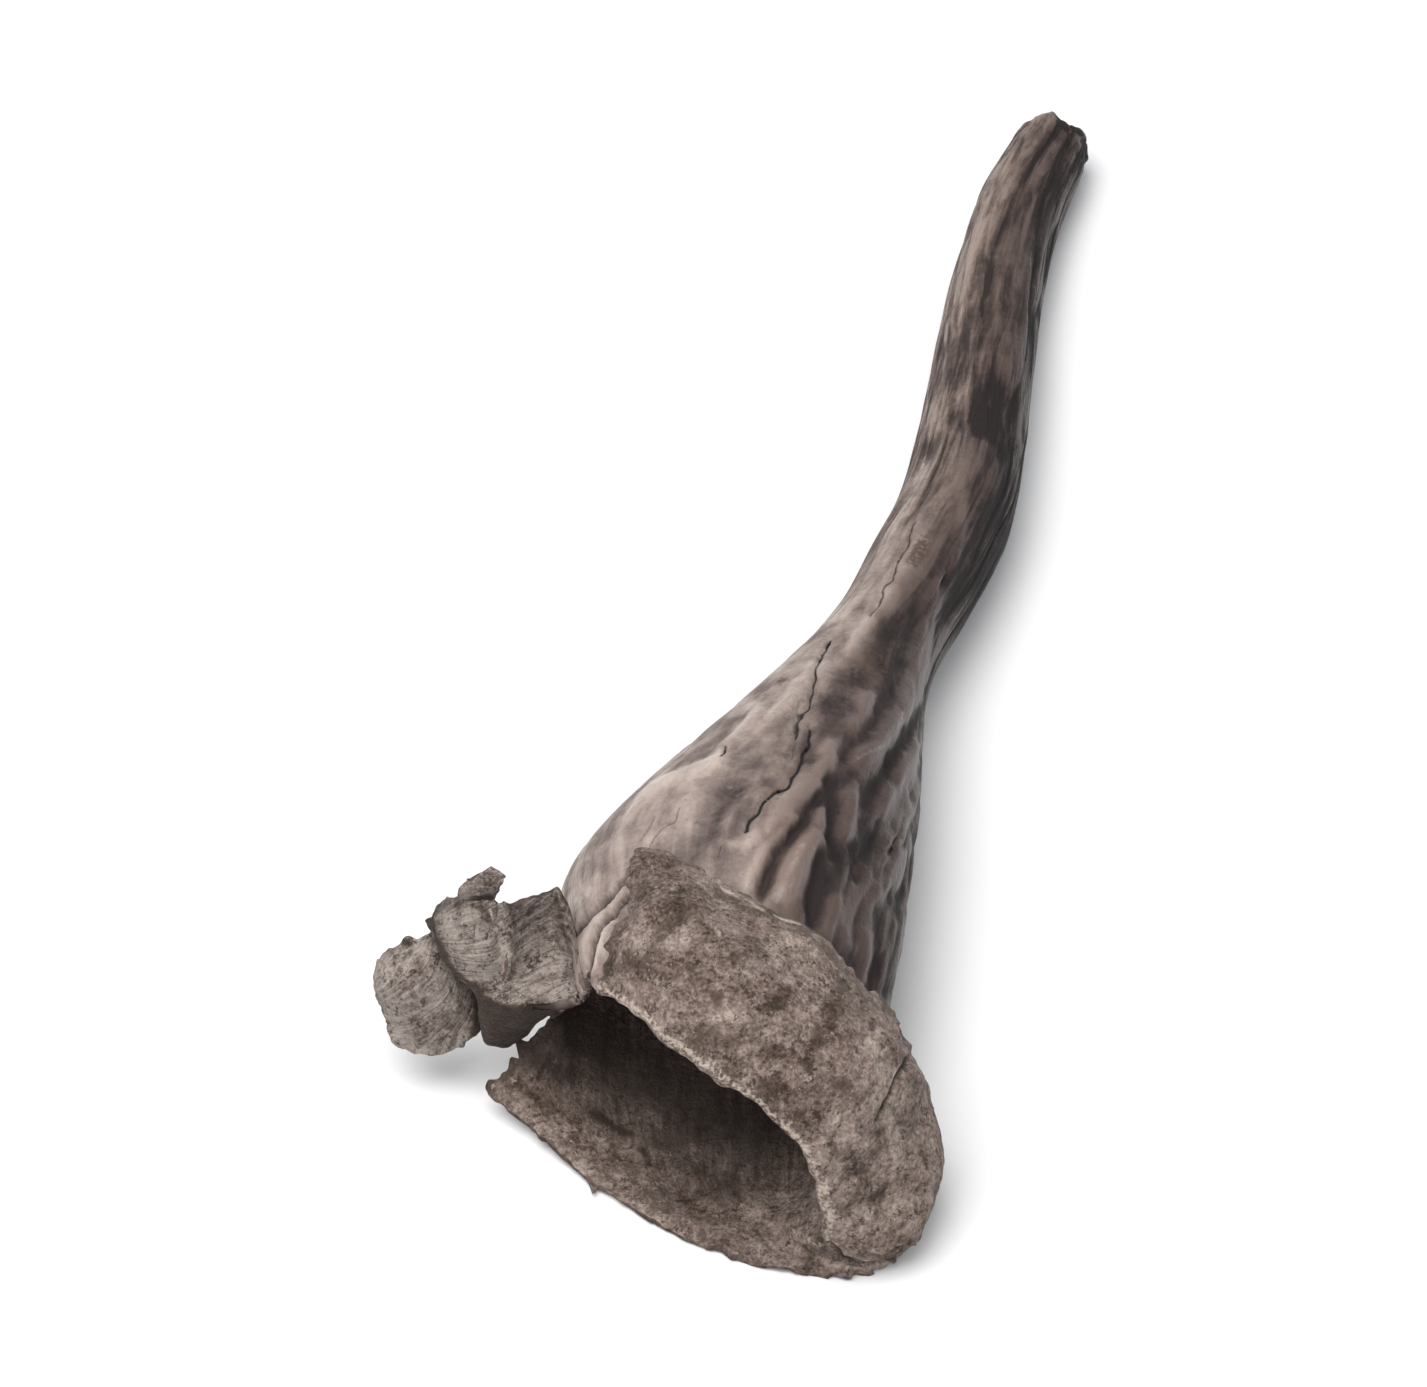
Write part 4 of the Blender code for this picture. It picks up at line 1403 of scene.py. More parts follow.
        wobble = 1.0 + self.ridge_wobble.at(self.places)
        ridges = self.ridge_gain * brush(self.flat, self.marks.ridges, wobble)
        ridges *= self.facing * (1.0 - ramp(self.beyond, *self.ridge_end))
        folds = brush(self.flat, self.marks.tear_folds) * ramp(self.distance, *self.fold_span)
        ridges += folds * self.facing
        fibres = self.fibres.at(self.grown) * at_least(self.fibre_least, stem)
        root = 1.0 - ramp(along, *self.root_span)
        root *= self.root_lumps.at(self.places) + self.root_grains.at(self.places)
        height = self.blister_height * blisters + self.pucker_height * puckers
        height += ridges + wrinkles + fibres + root
        return height * (1.0 - self.edge_calm * self.edge)

    def inner_height(self) -> Array:
        """Return how far the suede stands out of the wall."""
        strip = ramp(self.patch, *STRIP_SPAN)
        lumps = self.lumps.at(self.places) * (1.0 - self.strip_lumps * strip)
        pebbles = self.pebbles.at(self.places) * (1.0 - self.strip_pebbles * strip)
        pebbles += self.grains.at(self.places)
        lower = self.lower_share * self.lower * ramp(self.distance, *self.lower_span)
        deep = np.maximum(ramp(-self.beyond, *self.throat_span), lower)
        pleats = self.pleats.at(self.grown) + self.fine_pleats.at(self.grown)
        lumps *= 1.0 - self.deep_lumps * deep
        pebbles *= 1.0 - self.deep_pebbles * deep
        return lumps + pebbles + pleats * deep

    def work_sides(self, piece: Piece) -> None:
        """Shape the two sides of the thickened wall, and store what the finishes read.

        Args:
            piece: The wall with its thickness: first all points outside, then all inside.
        """
        mesh = piece.data
        places = read_floats(mesh.vertices, "co", 3) / MM
        outer = places[: self.count]
        inner = places[self.count : 2 * self.count]
        thickness = np.linalg.norm(outer - inner, axis=1)
        normals = self.normals
        self.flat = self.plane.flatten(self.places)
        self.place = np.mod(self.turn / (2.0 * math.pi), 1.0) * self.rim_count
        self.lower = ramp(self.place, *self.lower_start) * (1.0 - ramp(self.place, *self.lower_end))

        height = self.outer_height()
        # The relief that the skin's finish reads, to paint shade into valleys and grooves and light onto
        # crests
        relief = np.tanh(height / self.relief_height - self.groove_relief * self.grooves)
        crack = np.zeros(self.count)
        skin = (self.facing > self.skin_facing) & (self.beyond < self.crack_end)
        jagged = np.stack([noise_at(self.places, self.jag_size, seed) for seed in self.jag_seeds], axis=1)
        wobble = 1.0 + self.crack_wobble.at(self.places)
        for stroke in self.marks.cracks:
            away, moves = stroke.nearest(self.flat + self.crack_jag * jagged)
            close = skin & (away < self.crack_reach)
            outer[close] += self.plane.shift(moves[close], normals[close])
            groove = fade(np.where(close, 0.0, away), stroke.half_width * wobble) * stroke.strength
            groove = np.where(skin, groove, 0.0)
            lips = fade(away - self.crack_lip_place, self.crack_lip_width) * stroke.strength
            height += self.crack_lip * np.where(skin & ~close, lips, 0.0) - self.crack_depth * groove
            crack = np.maximum(crack, groove)
        inside = self.inner_height()
        faces_up = ramp(-(normals @ self.plane.towards()), *self.open_span)
        faces_up *= ramp(self.beyond, *self.open_crest)
        crease = brush(self.flat, self.marks.creases) * faces_up
        inside -= self.crease_depth * crease

        thin = self.margin_thinning * fade(self.distance, self.thinning_width)
        inside = np.maximum(inside, self.least_wall - thickness - height + 2.0 * thin)
        outer += (height - thin)[:, None] * normals
        inner -= (inside - thin)[:, None] * normals
        self.settle(places)
        lying = normals[:, 2] < self.lying
        inner[lying, 2] = np.maximum(inner[lying, 2], outer[lying, 2] + self.least_wall)
        mesh.vertices.foreach_set("co", (places * MM).ravel())
        mesh.update()
        self.paint(mesh, relief, crack, crease, faces_up)

    def settle(self, places: Array) -> None:
        """Lay the lowest parts on the floor, and press nothing below it."""
        lowest = 1.0 - ramp(places[:, 2], *self.settle_span)
        places[:, 2] = np.maximum(places[:, 2] - self.settle_depth * lowest, 0.0)

    def paint(
        self, mesh: bpy.types.Mesh, relief: Array, crack: Array, crease: Array, faces_up: Array
    ) -> None:
        """Store on each point what the finishes read.

        Args:
            mesh: The thickened wall.
            relief: How far the skin stands out, from about -1 to 1.
            crack: How deep in a crack the skin is, from 0 to 1.
            crease: How deep in a crease the suede is, from 0 to 1.
            faces_up: Where the suede lies open to the viewer, from 0 to 1.
        """
        rest = np.zeros(len(mesh.vertices) - 2 * self.count)

        def store(name: str, outside: Array | float = 0.0, inside: Array | float = 0.0) -> None:
            """Store a number for the skin and one for the suede, and zero on the torn edge."""
            sides = [np.broadcast_to(side, self.count) for side in (outside, inside)]
            write_marks(mesh, name, np.concatenate([*sides, rest]))

        towards = self.normals @ self.plane.towards()
        # Painted light on the side of the skin that faces the light, over its paler colour there
        side = ramp(self.broad_normals @ np.array(self.lit_towards), *self.lit_span)
        side = side * (1.0 + self.pale_drift.at(self.grown))
        # Pale bloom and painted highlights from the pale strokes
        pale = brush(self.flat, self.marks.pale) * self.facing
        # Less the painted shade of the dark strokes, where the skin turns from the viewer
        pale -= brush(self.flat, self.marks.dark_tone_and_shade) * ramp(towards, *self.turned_span)
        store("relief", np.clip(relief, -1.5, 1.5))
        # How deep in a crack or crease, which the finishes darken with painted shade
        store("crack", np.clip(crack, 0.0, 1.0), np.clip(crease, 0.0, 1.0))
        store("pale_lit_side", np.clip(side, 0.0, 1.0))
        store("stem", 1.0 - ramp(self.grown[:, 2], *self.stem_tone_span))
        store("pale", pale)
        # Painted shade on the side of the skin that faces away from the light
        store("side_shade", ramp(self.broad_normals @ np.array(self.shaded_towards), *self.shaded_span))

        stain = brush(self.flat, self.marks.stains) * self.facing
        store("tone", -stain, brush(self.flat, self.marks.blotches) * faces_up)
        # Painted shade down the throat: the drawn dark stretch, and a darkening that grows with depth below
        # the crest
        dark_throat_and_shade = brush(self.flat, self.marks.dark_throat_and_shade) * ramp(-towards, *self.inward_span)
        dark_throat_and_shade *= np.maximum(self.lower, ramp(-self.beyond, *self.throat_crest))
        store("depth", inside=np.maximum(ramp(-self.beyond, *self.depth_span), dark_throat_and_shade))
        # Drawn lights and shades of the suede: real tone, painted light on hems and the rib, painted shade in
        # folds
        shade = brush(self.flat, self.marks.shades, 1.0 + self.shade_drift.at(self.places)) * faces_up
        on_strip = np.abs(self.patch - Patch.STRIP.value) < 0.5
        # Painted shade on the under side of the torn strip
        under = on_strip * ramp(self.flat[:, 0], *self.under_end) * self.under_shade
        under *= 1.0 - ramp(self.place, *self.hem_span)
        store("shade", inside=shade * (1.0 - under) - under)
        # The painted highlight along the folded lip's crest, over pale flesh
        upper = np.maximum(1.0 - ramp(self.place, *self.upper_end), ramp(self.place, *self.upper_start))
        store("crest", inside=fade(self.beyond - self.crest_place, self.crest_width) * upper)


def colour(red: int, green: int, blue: int) -> Colour:
    """Turn a colour given as on a screen, 0 to 255, into Blender's linear values."""
    shares = (red / 255.0, green / 255.0, blue / 255.0)
    linear = [share / 12.92 if share <= 0.04045 else ((share + 0.055) / 1.055) ** 2.4 for share in shares]
    return (*linear, 1.0)


class Blend(Enum):
    """How two colours are put together."""

    MIX = "MIX"
    MULTIPLY = "MULTIPLY"


@dataclass(frozen=True)
class Cover:
    """A colour laid over another: from which value it shows, where it is full, and its most there."""

    shade: Colour
    low: float
    high: float
    most: float = 1.0


class Recipe:
    """A material's nodes, written one step a line."""

    def __init__(self, name: str) -> None:
        """Start the material with the given name."""
        self.material = bpy.data.materials.new(name)
        self.material.use_nodes = True
        self.tree = self.material.node_tree
        self.shader = self.tree.nodes["Principled BSDF"]

    def feed(self, socket: Socket, value: object) -> None:
        """Link a socket to another one, or set its value."""
        if isinstance(value, Socket):
            self.tree.links.new(value, socket)
        else:
            socket.default_value = value

    def node(self, kind: str, inputs: dict | None = None, **settings: object) -> bpy.types.Node:
        """Add a node.

        Args:
            kind: Blender's name for the kind of node.
            inputs: What goes into it: a socket or a value for each input's name or number.
            **settings: Its other settings.

        Returns:
            The node.
        """
        made = self.tree.nodes.new(kind)
        for name, value in settings.items():
            setattr(made, name, value)
        for name, value in (inputs or {}).items():
            self.feed(made.inputs[name], value)
        return made

    def places(self, scale: float = 1.0) -> Socket:
        """Return the place on the piece in millimetres, times a scale."""
        source = self.node("ShaderNodeTexCoord").outputs["Object"]
        return self.stretch(source, (scale / MM,) * 3)

    def number(self, name: str) -> Socket:
        """Return a number that is stored on the piece's points."""
        return self.node("ShaderNodeAttribute", attribute_name=name).outputs["Fac"]

    def grown(self, scale: Point) -> Socket:
        """Return the place on the straightened wall in millimetres, times a scale."""
        source = self.node("ShaderNodeAttribute", attribute_name="grown").outputs["Vector"]
        return self.stretch(source, scale)

    def stretch(self, place: Socket, scale: Point) -> Socket:
        """Return a place times a scale in each direction."""
        return self.node("ShaderNodeMapping", {"Vector": place, "Scale": scale}).outputs["Vector"]

    def noise(
        self, place: Socket, scale: float, detail: float = 2.0, rough: float = 0.5, twist: float = 0.0
    ) -> Socket:
        """Return noise, 0 to 1: lumps a unit, finer layers, their strength, how far lumps are bent."""
        inputs = {"Vector": place, "Scale": scale, "Detail": detail, "Roughness": rough, "Distortion": twist}
        return self.node("ShaderNodeTexNoise", inputs).outputs["Fac"]

    def maths(self, kind: str, first: object, second: object) -> Socket:
        """Return the result of a sum on two numbers."""
        return self.node("ShaderNodeMath", {0: first, 1: second}, operation=kind).outputs["Value"]

    def span(self, value: object, low: float, high: float, start: float = 0.0, end: float = 1.0) -> Socket:
        """Return a smooth step of a value: start where it is low, end where it is high."""
        inputs = {"Value": value, "From Min": low, "From Max": high, "To Min": start, "To Max": end}
        return self.node("ShaderNodeMapRange", inputs, interpolation_type="SMOOTHSTEP").outputs["Result"]

    def plus(self, first: object, second: object) -> Socket:
        """Return the sum of two numbers."""
        return self.maths("ADD", first, second)

    def times(self, first: object, second: object) -> Socket:
        """Return the product of two numbers."""
        return self.maths("MULTIPLY", first, second)

    def swing(self, value: object, strength: float = 1.0) -> Socket:
        """Return a value from 0 to 1 as a swing around zero, times a strength."""
        return self.times(self.maths("SUBTRACT", value, 0.5), strength)

    def total(self, weights: Iterable[float], *values: object) -> Socket:
        """Return the sum of values, each times its own weight."""
        result = None
        for weight, value in zip(weights, values, strict=True):
            term = self.times(value, weight)
            result = term if result is None else self.plus(result, term)
        return result

    def mix(self, share: object, first: object, second: object, blend: Blend = Blend.MIX) -> Socket:
        """Return two colours put together, with the given share of the second, from 0 to 1."""
        inputs = {0: share, 6: first, 7: second}
        return self.node("ShaderNodeMix", inputs, data_type="RGBA", blend_type=blend.value).outputs[2]

    def tint(self, shade: object, tint: object) -> Socket:
        """Return a colour times a tint."""
        return self.mix(1.0, shade, tint, Blend.MULTIPLY)

    def cover(self, shade: object, cover: Cover, value: object) -> Socket:
        """Return a colour with another one laid over it where a value is high."""
        share = self.span(value, cover.low, cover.high, 0.0, cover.most)
        return self.mix(share, shade, cover.shade)

    def shades(self, value: object, stops: tuple[tuple[float, Colour], ...]) -> Socket:
        """Return the colour of a value on a row of colour stops."""
        made = self.node("ShaderNodeValToRGB", {"Fac": value})
        ramp_stops = made.color_ramp.elements
        while len(ramp_stops) < len(stops):
            ramp_stops.new(0.5)
        for stop, (place, shade) in zip(ramp_stops, stops):
            stop.position = place
            stop.color = shade
        return made.outputs["Color"]

    def bump(self, height: object, depth: float, below: object = None) -> Socket:
        """Return a bumped normal.

        Args:
            height: The height, from 0 to 1.
            depth: How deep that is.
            below: The normal that it is put on, or none.

        Returns:
            The normal.
        """
        inputs = {"Strength": 1.0, "Distance": depth * MM, "Height": height}
        if below is not None:
            inputs["Normal"] = below
        return self.node("ShaderNodeBump", inputs).outputs["Normal"]

    def finish(self, shade: object, rough: object, normal: object, specular: float) -> bpy.types.Material:
        """Give the shader its colour, roughness, normal and gloss, and return the material."""
        self.shader.inputs["Specular IOR Level"].default_value = specular
        self.feed(self.shader.inputs["Base Color"], shade)
        self.feed(self.shader.inputs["Roughness"], rough)
        self.feed(self.shader.inputs["Normal"], normal)
        return self.material


@dataclass(frozen=True)
class OuterSkin:
    """The satin outer skin: pale taupe on one side, purple-grey on the other, with dark valleys.

    The pale side carries painted light, the other painted shade, and the valleys painted shade.
    """

    # Colour stops that the relief runs along: painted shade low in the valleys, painted light high on crests
    valley: Colour = colour(48, 40, 38)
    slope: Colour = colour(84, 73, 70)
    ridge: Colour = colour(116, 104, 99)
    crown: Colour = colour(146, 134, 128)
    stops: tuple = ((0.10, valley), (0.36, slope), (0.60, ridge), (0.92, crown))

    # What the colours are multiplied by: on the pale side, with painted light; on the other, with painted
    # shade;
    # more painted shade on the side away from the light; and on the stem
    pale_and_lit_tint: Colour = (1.90, 1.90, 1.85, 1.0)
    dark_and_shaded_tint: Colour = (0.70, 0.605, 0.57, 1.0)
    side_shade_tint: Colour = (0.30, 0.26, 0.243, 1.0)
    stem_tint: Colour = (0.45, 0.40, 0.375, 1.0)
    stem_share: float = 0.85

    # What lies over them: bloom with painted highlights, brown stains, specks, painted shade in dark hollows
    # and painted shade in cracks
    bloom_and_highlight: Cover = Cover(colour(196, 184, 174), 0.35, 1.05, 0.75)
    stain: Cover = Cover(colour(74, 54, 42), 0.05, 0.85, 0.85)
    speck: Cover = Cover(valley, 0.62, 0.69, 0.40)
    hollow_shade: Cover = Cover(colour(36, 30, 28), 0.75, 1.30, 0.85)
    crack: Cover = Cover(colour(20, 16, 14), 0.35, 0.80)

    # Noises: lumps a millimetre, finer layers, their strength and how far the lumps are bent
    fibre_run: Point = (1.0, 1.0, 0.07)
    fibres: tuple = (2.4, 4.0, 0.62, 0.4)
    strand_run: Point = (1.0, 1.0, 0.20)
    strands: tuple = (0.8, 3.0, 0.55, 0.6)
    mottles: tuple = (0.45, 3.0, 0.6, 0.3)
    grains: tuple = (3.4, 3.0, 0.7)
    specks: tuple = (2.3, 4.0, 0.75)
    pores: tuple = (8.0, 2.0, 0.6)

    # Steps of a value: low, high, and what it gives at each
    fibre_steps: tuple = (0.0, 1.0, 0.35, 2.1)
    contrast_steps: tuple = (0.1, 0.9, 1.25, 0.60)
    rough_steps: tuple = (0.20, 0.75, 0.78, 0.36)
    hollow_steps: tuple = (0.60, 1.20, 0.0, 0.95)
    stain_steps: tuple = (0.36, 0.56)

    # Weights: of relief, which paints shade into valleys and light onto crests, strands, mottles, grains,
    # fibres and drawn paleness with painted highlights and shade in the brightness, and of fibres, strands
    # and grains in the height
    value_weights: tuple = (0.52, 0.85, 0.55, 0.28, 1.0, 0.24)
    height_weights: tuple = (0.9, 0.3, 0.25)

    # The middle brightness, the depth of fibres and of pores, and the gloss
    brightness: float = 0.515
    fibre_depth: float = 0.17
    pore_depth: float = 0.010
    specular: float = 0.40

    def make(self) -> bpy.types.Material:
        """Return the finish as a material."""
        recipe = Recipe("outer_skin")
        place = recipe.places()
        side, stem, pale = (recipe.number(name) for name in ("pale_lit_side", "stem", "pale"))
        fibres = recipe.noise(recipe.grown(self.fibre_run), *self.fibres)
        strands = recipe.noise(recipe.grown(self.strand_run), *self.strands)
        mottle = recipe.noise(place, *self.mottles)
        grain = recipe.noise(place, *self.grains)
        fibre_swing = recipe.times(recipe.swing(fibres), recipe.span(stem, *self.fibre_steps))
        contrast = recipe.span(side, *self.contrast_steps)
        # Painted shade in the valleys and painted light on the crests, from the relief, stronger on the
        # shaded side
        relief = recipe.times(recipe.number("relief"), contrast)
        swings = (recipe.times(recipe.swing(strands), contrast), recipe.swing(mottle), recipe.swing(grain))
        value = recipe.total(self.value_weights, relief, *swings, fibre_swing, pale)
        value = recipe.plus(value, self.brightness)
        shade = recipe.shades(value, self.stops)
        # Pale skin with painted light on the side towards the light, purple-grey with painted shade away from
        # it
        share = recipe.plus(side, recipe.swing(mottle, 0.35))
        tint = recipe.mix(recipe.span(share, 0.0, 1.0), self.dark_and_shaded_tint, self.pale_and_lit_tint)
        shade = recipe.tint(shade, tint)
        # More painted shade on the side that faces away from the light
        shade = recipe.mix(recipe.number("side_shade"), shade, recipe.tint(shade, self.side_shade_tint))
        stem_share = recipe.times(stem, self.stem_share)
        shade = recipe.mix(stem_share, shade, recipe.tint(shade, self.stem_tint))
        # Pale bloom with painted highlights, where the grain and the pale strokes are high
        shade = recipe.cover(shade, self.bloom_and_highlight, recipe.plus(recipe.swing(grain, 0.5), pale))
        stained = recipe.times(recipe.number("tone"), -1.0)
        stained = recipe.times(stained, recipe.span(grain, *self.stain_steps))
        shade = recipe.cover(shade, self.stain, stained)
        shade = recipe.cover(shade, self.speck, recipe.noise(place, *self.specks))
        # Painted shade where the dark strokes are strongest: the tear's crevices and under the torn strip
        hollow_shade = recipe.times(pale, -1.0)
        shade = recipe.cover(shade, self.hollow_shade, hollow_shade)
        # Painted shade in the cracks
        shade = recipe.cover(shade, self.crack, recipe.number("crack"))
        rough = recipe.span(value, *self.rough_steps)
        rough = recipe.maths("MAXIMUM", rough, recipe.span(hollow_shade, *self.hollow_steps))
        height = recipe.total(self.height_weights, fibre_swing, strands, grain)
        normal = recipe.bump(height, self.fibre_depth)
        normal = recipe.bump(recipe.noise(place, *self.pores), self.pore_depth, normal)
        return recipe.finish(shade, rough, normal, self.specular)


@dataclass(frozen=True)
class Suede:
    """The dull inner side: grainy suede on the lip, radial fibres down the dark throat.

    The throat is dark in colour and darker still with painted shade.
    """

    pit: Colour = colour(50, 39, 33)
    brown: Colour = colour(88, 74, 66)
    taupe: Colour = colour(120, 105, 98)
    pale: Colour = colour(164, 149, 139)
    light: Colour = colour(188, 175, 162)
    stops: tuple = ((0.14, pit), (0.38, brown), (0.60, taupe), (0.95, pale))
    strip_tint: Colour = (0.98, 1.04, 1.07, 1.0)

    # What lies over them: mottles, pale crumbs, dark pits, drawn pale tone with painted light, drawn dark
    # tone with painted shade, the crest's pale line as a painted highlight, the dark throat with painted
    # shade, and painted shade in the creases
    mottle: Cover = Cover(colour(72, 60, 53), 0.52, 0.64, 0.65)
    crumb: Cover = Cover(light, 0.60, 0.72, 0.55)
    fleck: Cover = Cover(pit, 0.075, 0.14, 0.78)
    pale_and_painted_light: Cover = Cover(light, 0.30, 1.05, 0.85)
    drawn_shade: Cover = Cover(pit, 0.25, 1.1, 0.90)
    crest: Cover = Cover(light, 0.55, 1.15, 0.70)
    dark_throat_and_shade: Cover = Cover(colour(47, 39, 35), 0.06, 0.95, 0.86)
    crease: Cover = Cover(colour(26, 21, 18), 0.15, 0.95, 0.9)

    # Noises: lumps a millimetre, finer layers, their strength and how far the lumps are bent
    lumps: tuple = (0.95, 2.0, 0.55, 0.3)
    crumbs: tuple = (2.4, 3.0, 0.65, 0.2)
    grains: tuple = (5.2, 2.0, 0.6, 0.1)
    blotches: tuple = (0.30, 2.0, 0.5, 0.5)
    fibre_run: Point = (1.0, 1.0, 0.11)
    fibres: tuple = (2.6, 4.0, 0.65, 0.3)
    line_run: Point = (0.10, 0.10, 1.0)
    lines: tuple = (2.8, 4.0, 0.65, 0.5)
    mottles: tuple = (0.55, 4.0, 0.66, 0.6)
    pale_crumbs: tuple = (1.7, 4.0, 0.72, 0.4)
    patches: tuple = (1.3, 3.0, 0.6, 0.4)
    flecks: tuple = (3.6, 4.0, 0.75, 0.3)

    # Steps of a value: low, high, and what it gives at each
    inward_steps: tuple = (0.05, 0.45, 0.0, 0.85)
    rough_steps: tuple = (0.3, 0.7, 0.95, 0.80)

    # Weights: of crumbs and grains in the fine swing; of lumps, blotches and drawn tone in the broad one;
    # of fibres, fine and broad in the streaks; of all, growth lines and drawn tone with painted light and
    # shade in the brightness; of mottles and tone; of flecks, patches and tone; and of what makes the height
    fine_weights: tuple = (0.75, 0.85)
    broad_weights: tuple = (0.72, 0.60, 0.20)
    streak_weights: tuple = (1.35, 0.35, 0.5)
    value_weights: tuple = (1.0, 1.0, 0.30)
    mottle_weights: tuple = (1.0, -0.05)
    fleck_weights: tuple = (1.0, 0.65, -0.10)
    height_weights: tuple = (0.9, 0.35, 0.4, 0.25, 0.8)

    # The middle brightness on the lip and down the throat, lower there as painted shade, and the strip's
    # growth lines and calm
    brightness: float = 0.56
    throat_brightness: float = 0.50
    line_swing: float = 1.35
    line_lift: float = 0.17
    strip_calm: float = 0.75

    # The depth of the grain, the gloss and the sheen
    depth: float = 0.26
    specular: float = 0.14
    sheen: float = 0.10
    sheen_roughness: float = 0.5
    sheen_tint: Colour = (0.85, 0.78, 0.72, 1.0)

    def make(self) -> bpy.types.Material:
        """Return the finish as a material."""
        recipe = Recipe("suede")
        place = recipe.places()
        layers = (self.lumps, self.crumbs, self.grains, self.blotches)
        lumps, crumbs, grains, blotch = (recipe.noise(place, *layer) for layer in layers)
        fibres = recipe.noise(recipe.grown(self.fibre_run), *self.fibres)
        depth, tone, drawn = (recipe.number(name) for name in ("depth", "tone", "shade"))
        fine = recipe.total(self.fine_weights, recipe.swing(crumbs), recipe.swing(grains))
        broad = recipe.total(self.broad_weights, recipe.swing(lumps), recipe.swing(blotch), tone)
        ground = recipe.plus(recipe.plus(fine, broad), self.brightness)
        streaks = recipe.total(self.streak_weights, recipe.swing(fibres), fine, broad)
        streaks = recipe.plus(streaks, self.throat_brightness)
        change = recipe.maths("SUBTRACT", streaks, ground)
        # Darker down the throat by depth: painted shade over the throat's darker colour
        value = recipe.plus(ground, recipe.times(change, recipe.span(depth, *self.inward_steps)))
        strip = recipe.span(recipe.number("patch"), *STRIP_SPAN)
        lines = recipe.noise(recipe.grown(self.line_run), *self.lines)
        growth = recipe.plus(recipe.swing(lines, self.line_swing), self.line_lift)
        growth = recipe.times(growth, strip)
        # Drawn tone brightens and darkens the suede, with painted light and painted shade
        value = recipe.total(self.value_weights, value, growth, drawn)
        shade = recipe.shades(value, self.stops)
        shade = recipe.mix(strip, shade, recipe.tint(shade, self.strip_tint))
        mottles = recipe.total(self.mottle_weights, recipe.noise(place, *self.mottles), tone)
        calm = recipe.maths("SUBTRACT", 1.0, recipe.times(strip, self.strip_calm))
        mottled = recipe.span(mottles, self.mottle.low, self.mottle.high, 0.0, self.mottle.most)
        shade = recipe.mix(recipe.times(mottled, calm), shade, self.mottle.shade)
        shade = recipe.cover(shade, self.crumb, recipe.noise(place, *self.pale_crumbs))
        patches = recipe.noise(place, *self.patches)
        flecks = recipe.noise(place, *self.flecks)
        pitted = recipe.total(self.fleck_weights, recipe.swing(flecks), recipe.swing(patches), tone)
        shade = recipe.cover(shade, self.fleck, pitted)
        # Pale tone with painted light where the drawn strokes are high
        shade = recipe.cover(shade, self.pale_and_painted_light, recipe.plus(drawn, recipe.swing(crumbs, 0.8)))
        # The crest's pale line, a painted highlight broken by grain and crumbs
        broken = recipe.plus(recipe.swing(grains, 1.5), recipe.swing(crumbs, 1.2))
        shade = recipe.cover(shade, self.crest, recipe.plus(recipe.number("crest"), broken))
        # Dark tone with painted shade where the drawn strokes are low, and on the strip's under side
        shade = recipe.cover(shade, self.drawn_shade, recipe.times(drawn, -1.0))
        # The throat's dark colour with painted shade, by the stored depth
        shade = recipe.cover(shade, self.dark_throat_and_shade, depth)
        # Painted shade in the creases
        shade = recipe.cover(shade, self.crease, recipe.number("crack"))
        height = recipe.total(self.height_weights, crumbs, grains, lumps, fibres, growth)
        recipe.shader.inputs["Sheen Weight"].default_value = self.sheen
        recipe.shader.inputs["Sheen Roughness"].default_value = self.sheen_roughness
        recipe.shader.inputs["Sheen Tint"].default_value = self.sheen_tint
        rough = recipe.span(crumbs, *self.rough_steps)
        return recipe.finish(shade, rough, recipe.bump(height, self.depth), self.specular)


@dataclass(frozen=True)
class TornFlesh:
    """The torn edge of the wall: crumbly, dark with pale chips."""

    stops: tuple = ((0.20, colour(58, 46, 41)), (0.48, colour(90, 78, 71)), (0.85, colour(142, 129, 120)))
    crumbs: tuple = (2.4, 4.0, 0.7, 0.2)
    lumps: tuple = (0.55, 2.0, 0.5)
    value_weights: tuple = (1.2, 0.8, 0.3)
    darkness: float = 0.55
    rough_steps: tuple = (0.3, 0.7, 0.95, 0.78)
    depth: float = 0.18
    specular: float = 0.15

    def make(self) -> bpy.types.Material:
        """Return the finish as a material."""
        recipe = Recipe("torn_flesh")
        place = recipe.places()
        crumbs = recipe.noise(place, *self.crumbs)
        lumps = recipe.noise(place, *self.lumps)
        value = recipe.total(self.value_weights, crumbs, lumps, recipe.number("tone"))
        shade = recipe.shades(recipe.maths("SUBTRACT", value, self.darkness), self.stops)
        rough = recipe.span(crumbs, *self.rough_steps)
        return recipe.finish(shade, rough, recipe.bump(crumbs, self.depth), self.specular)


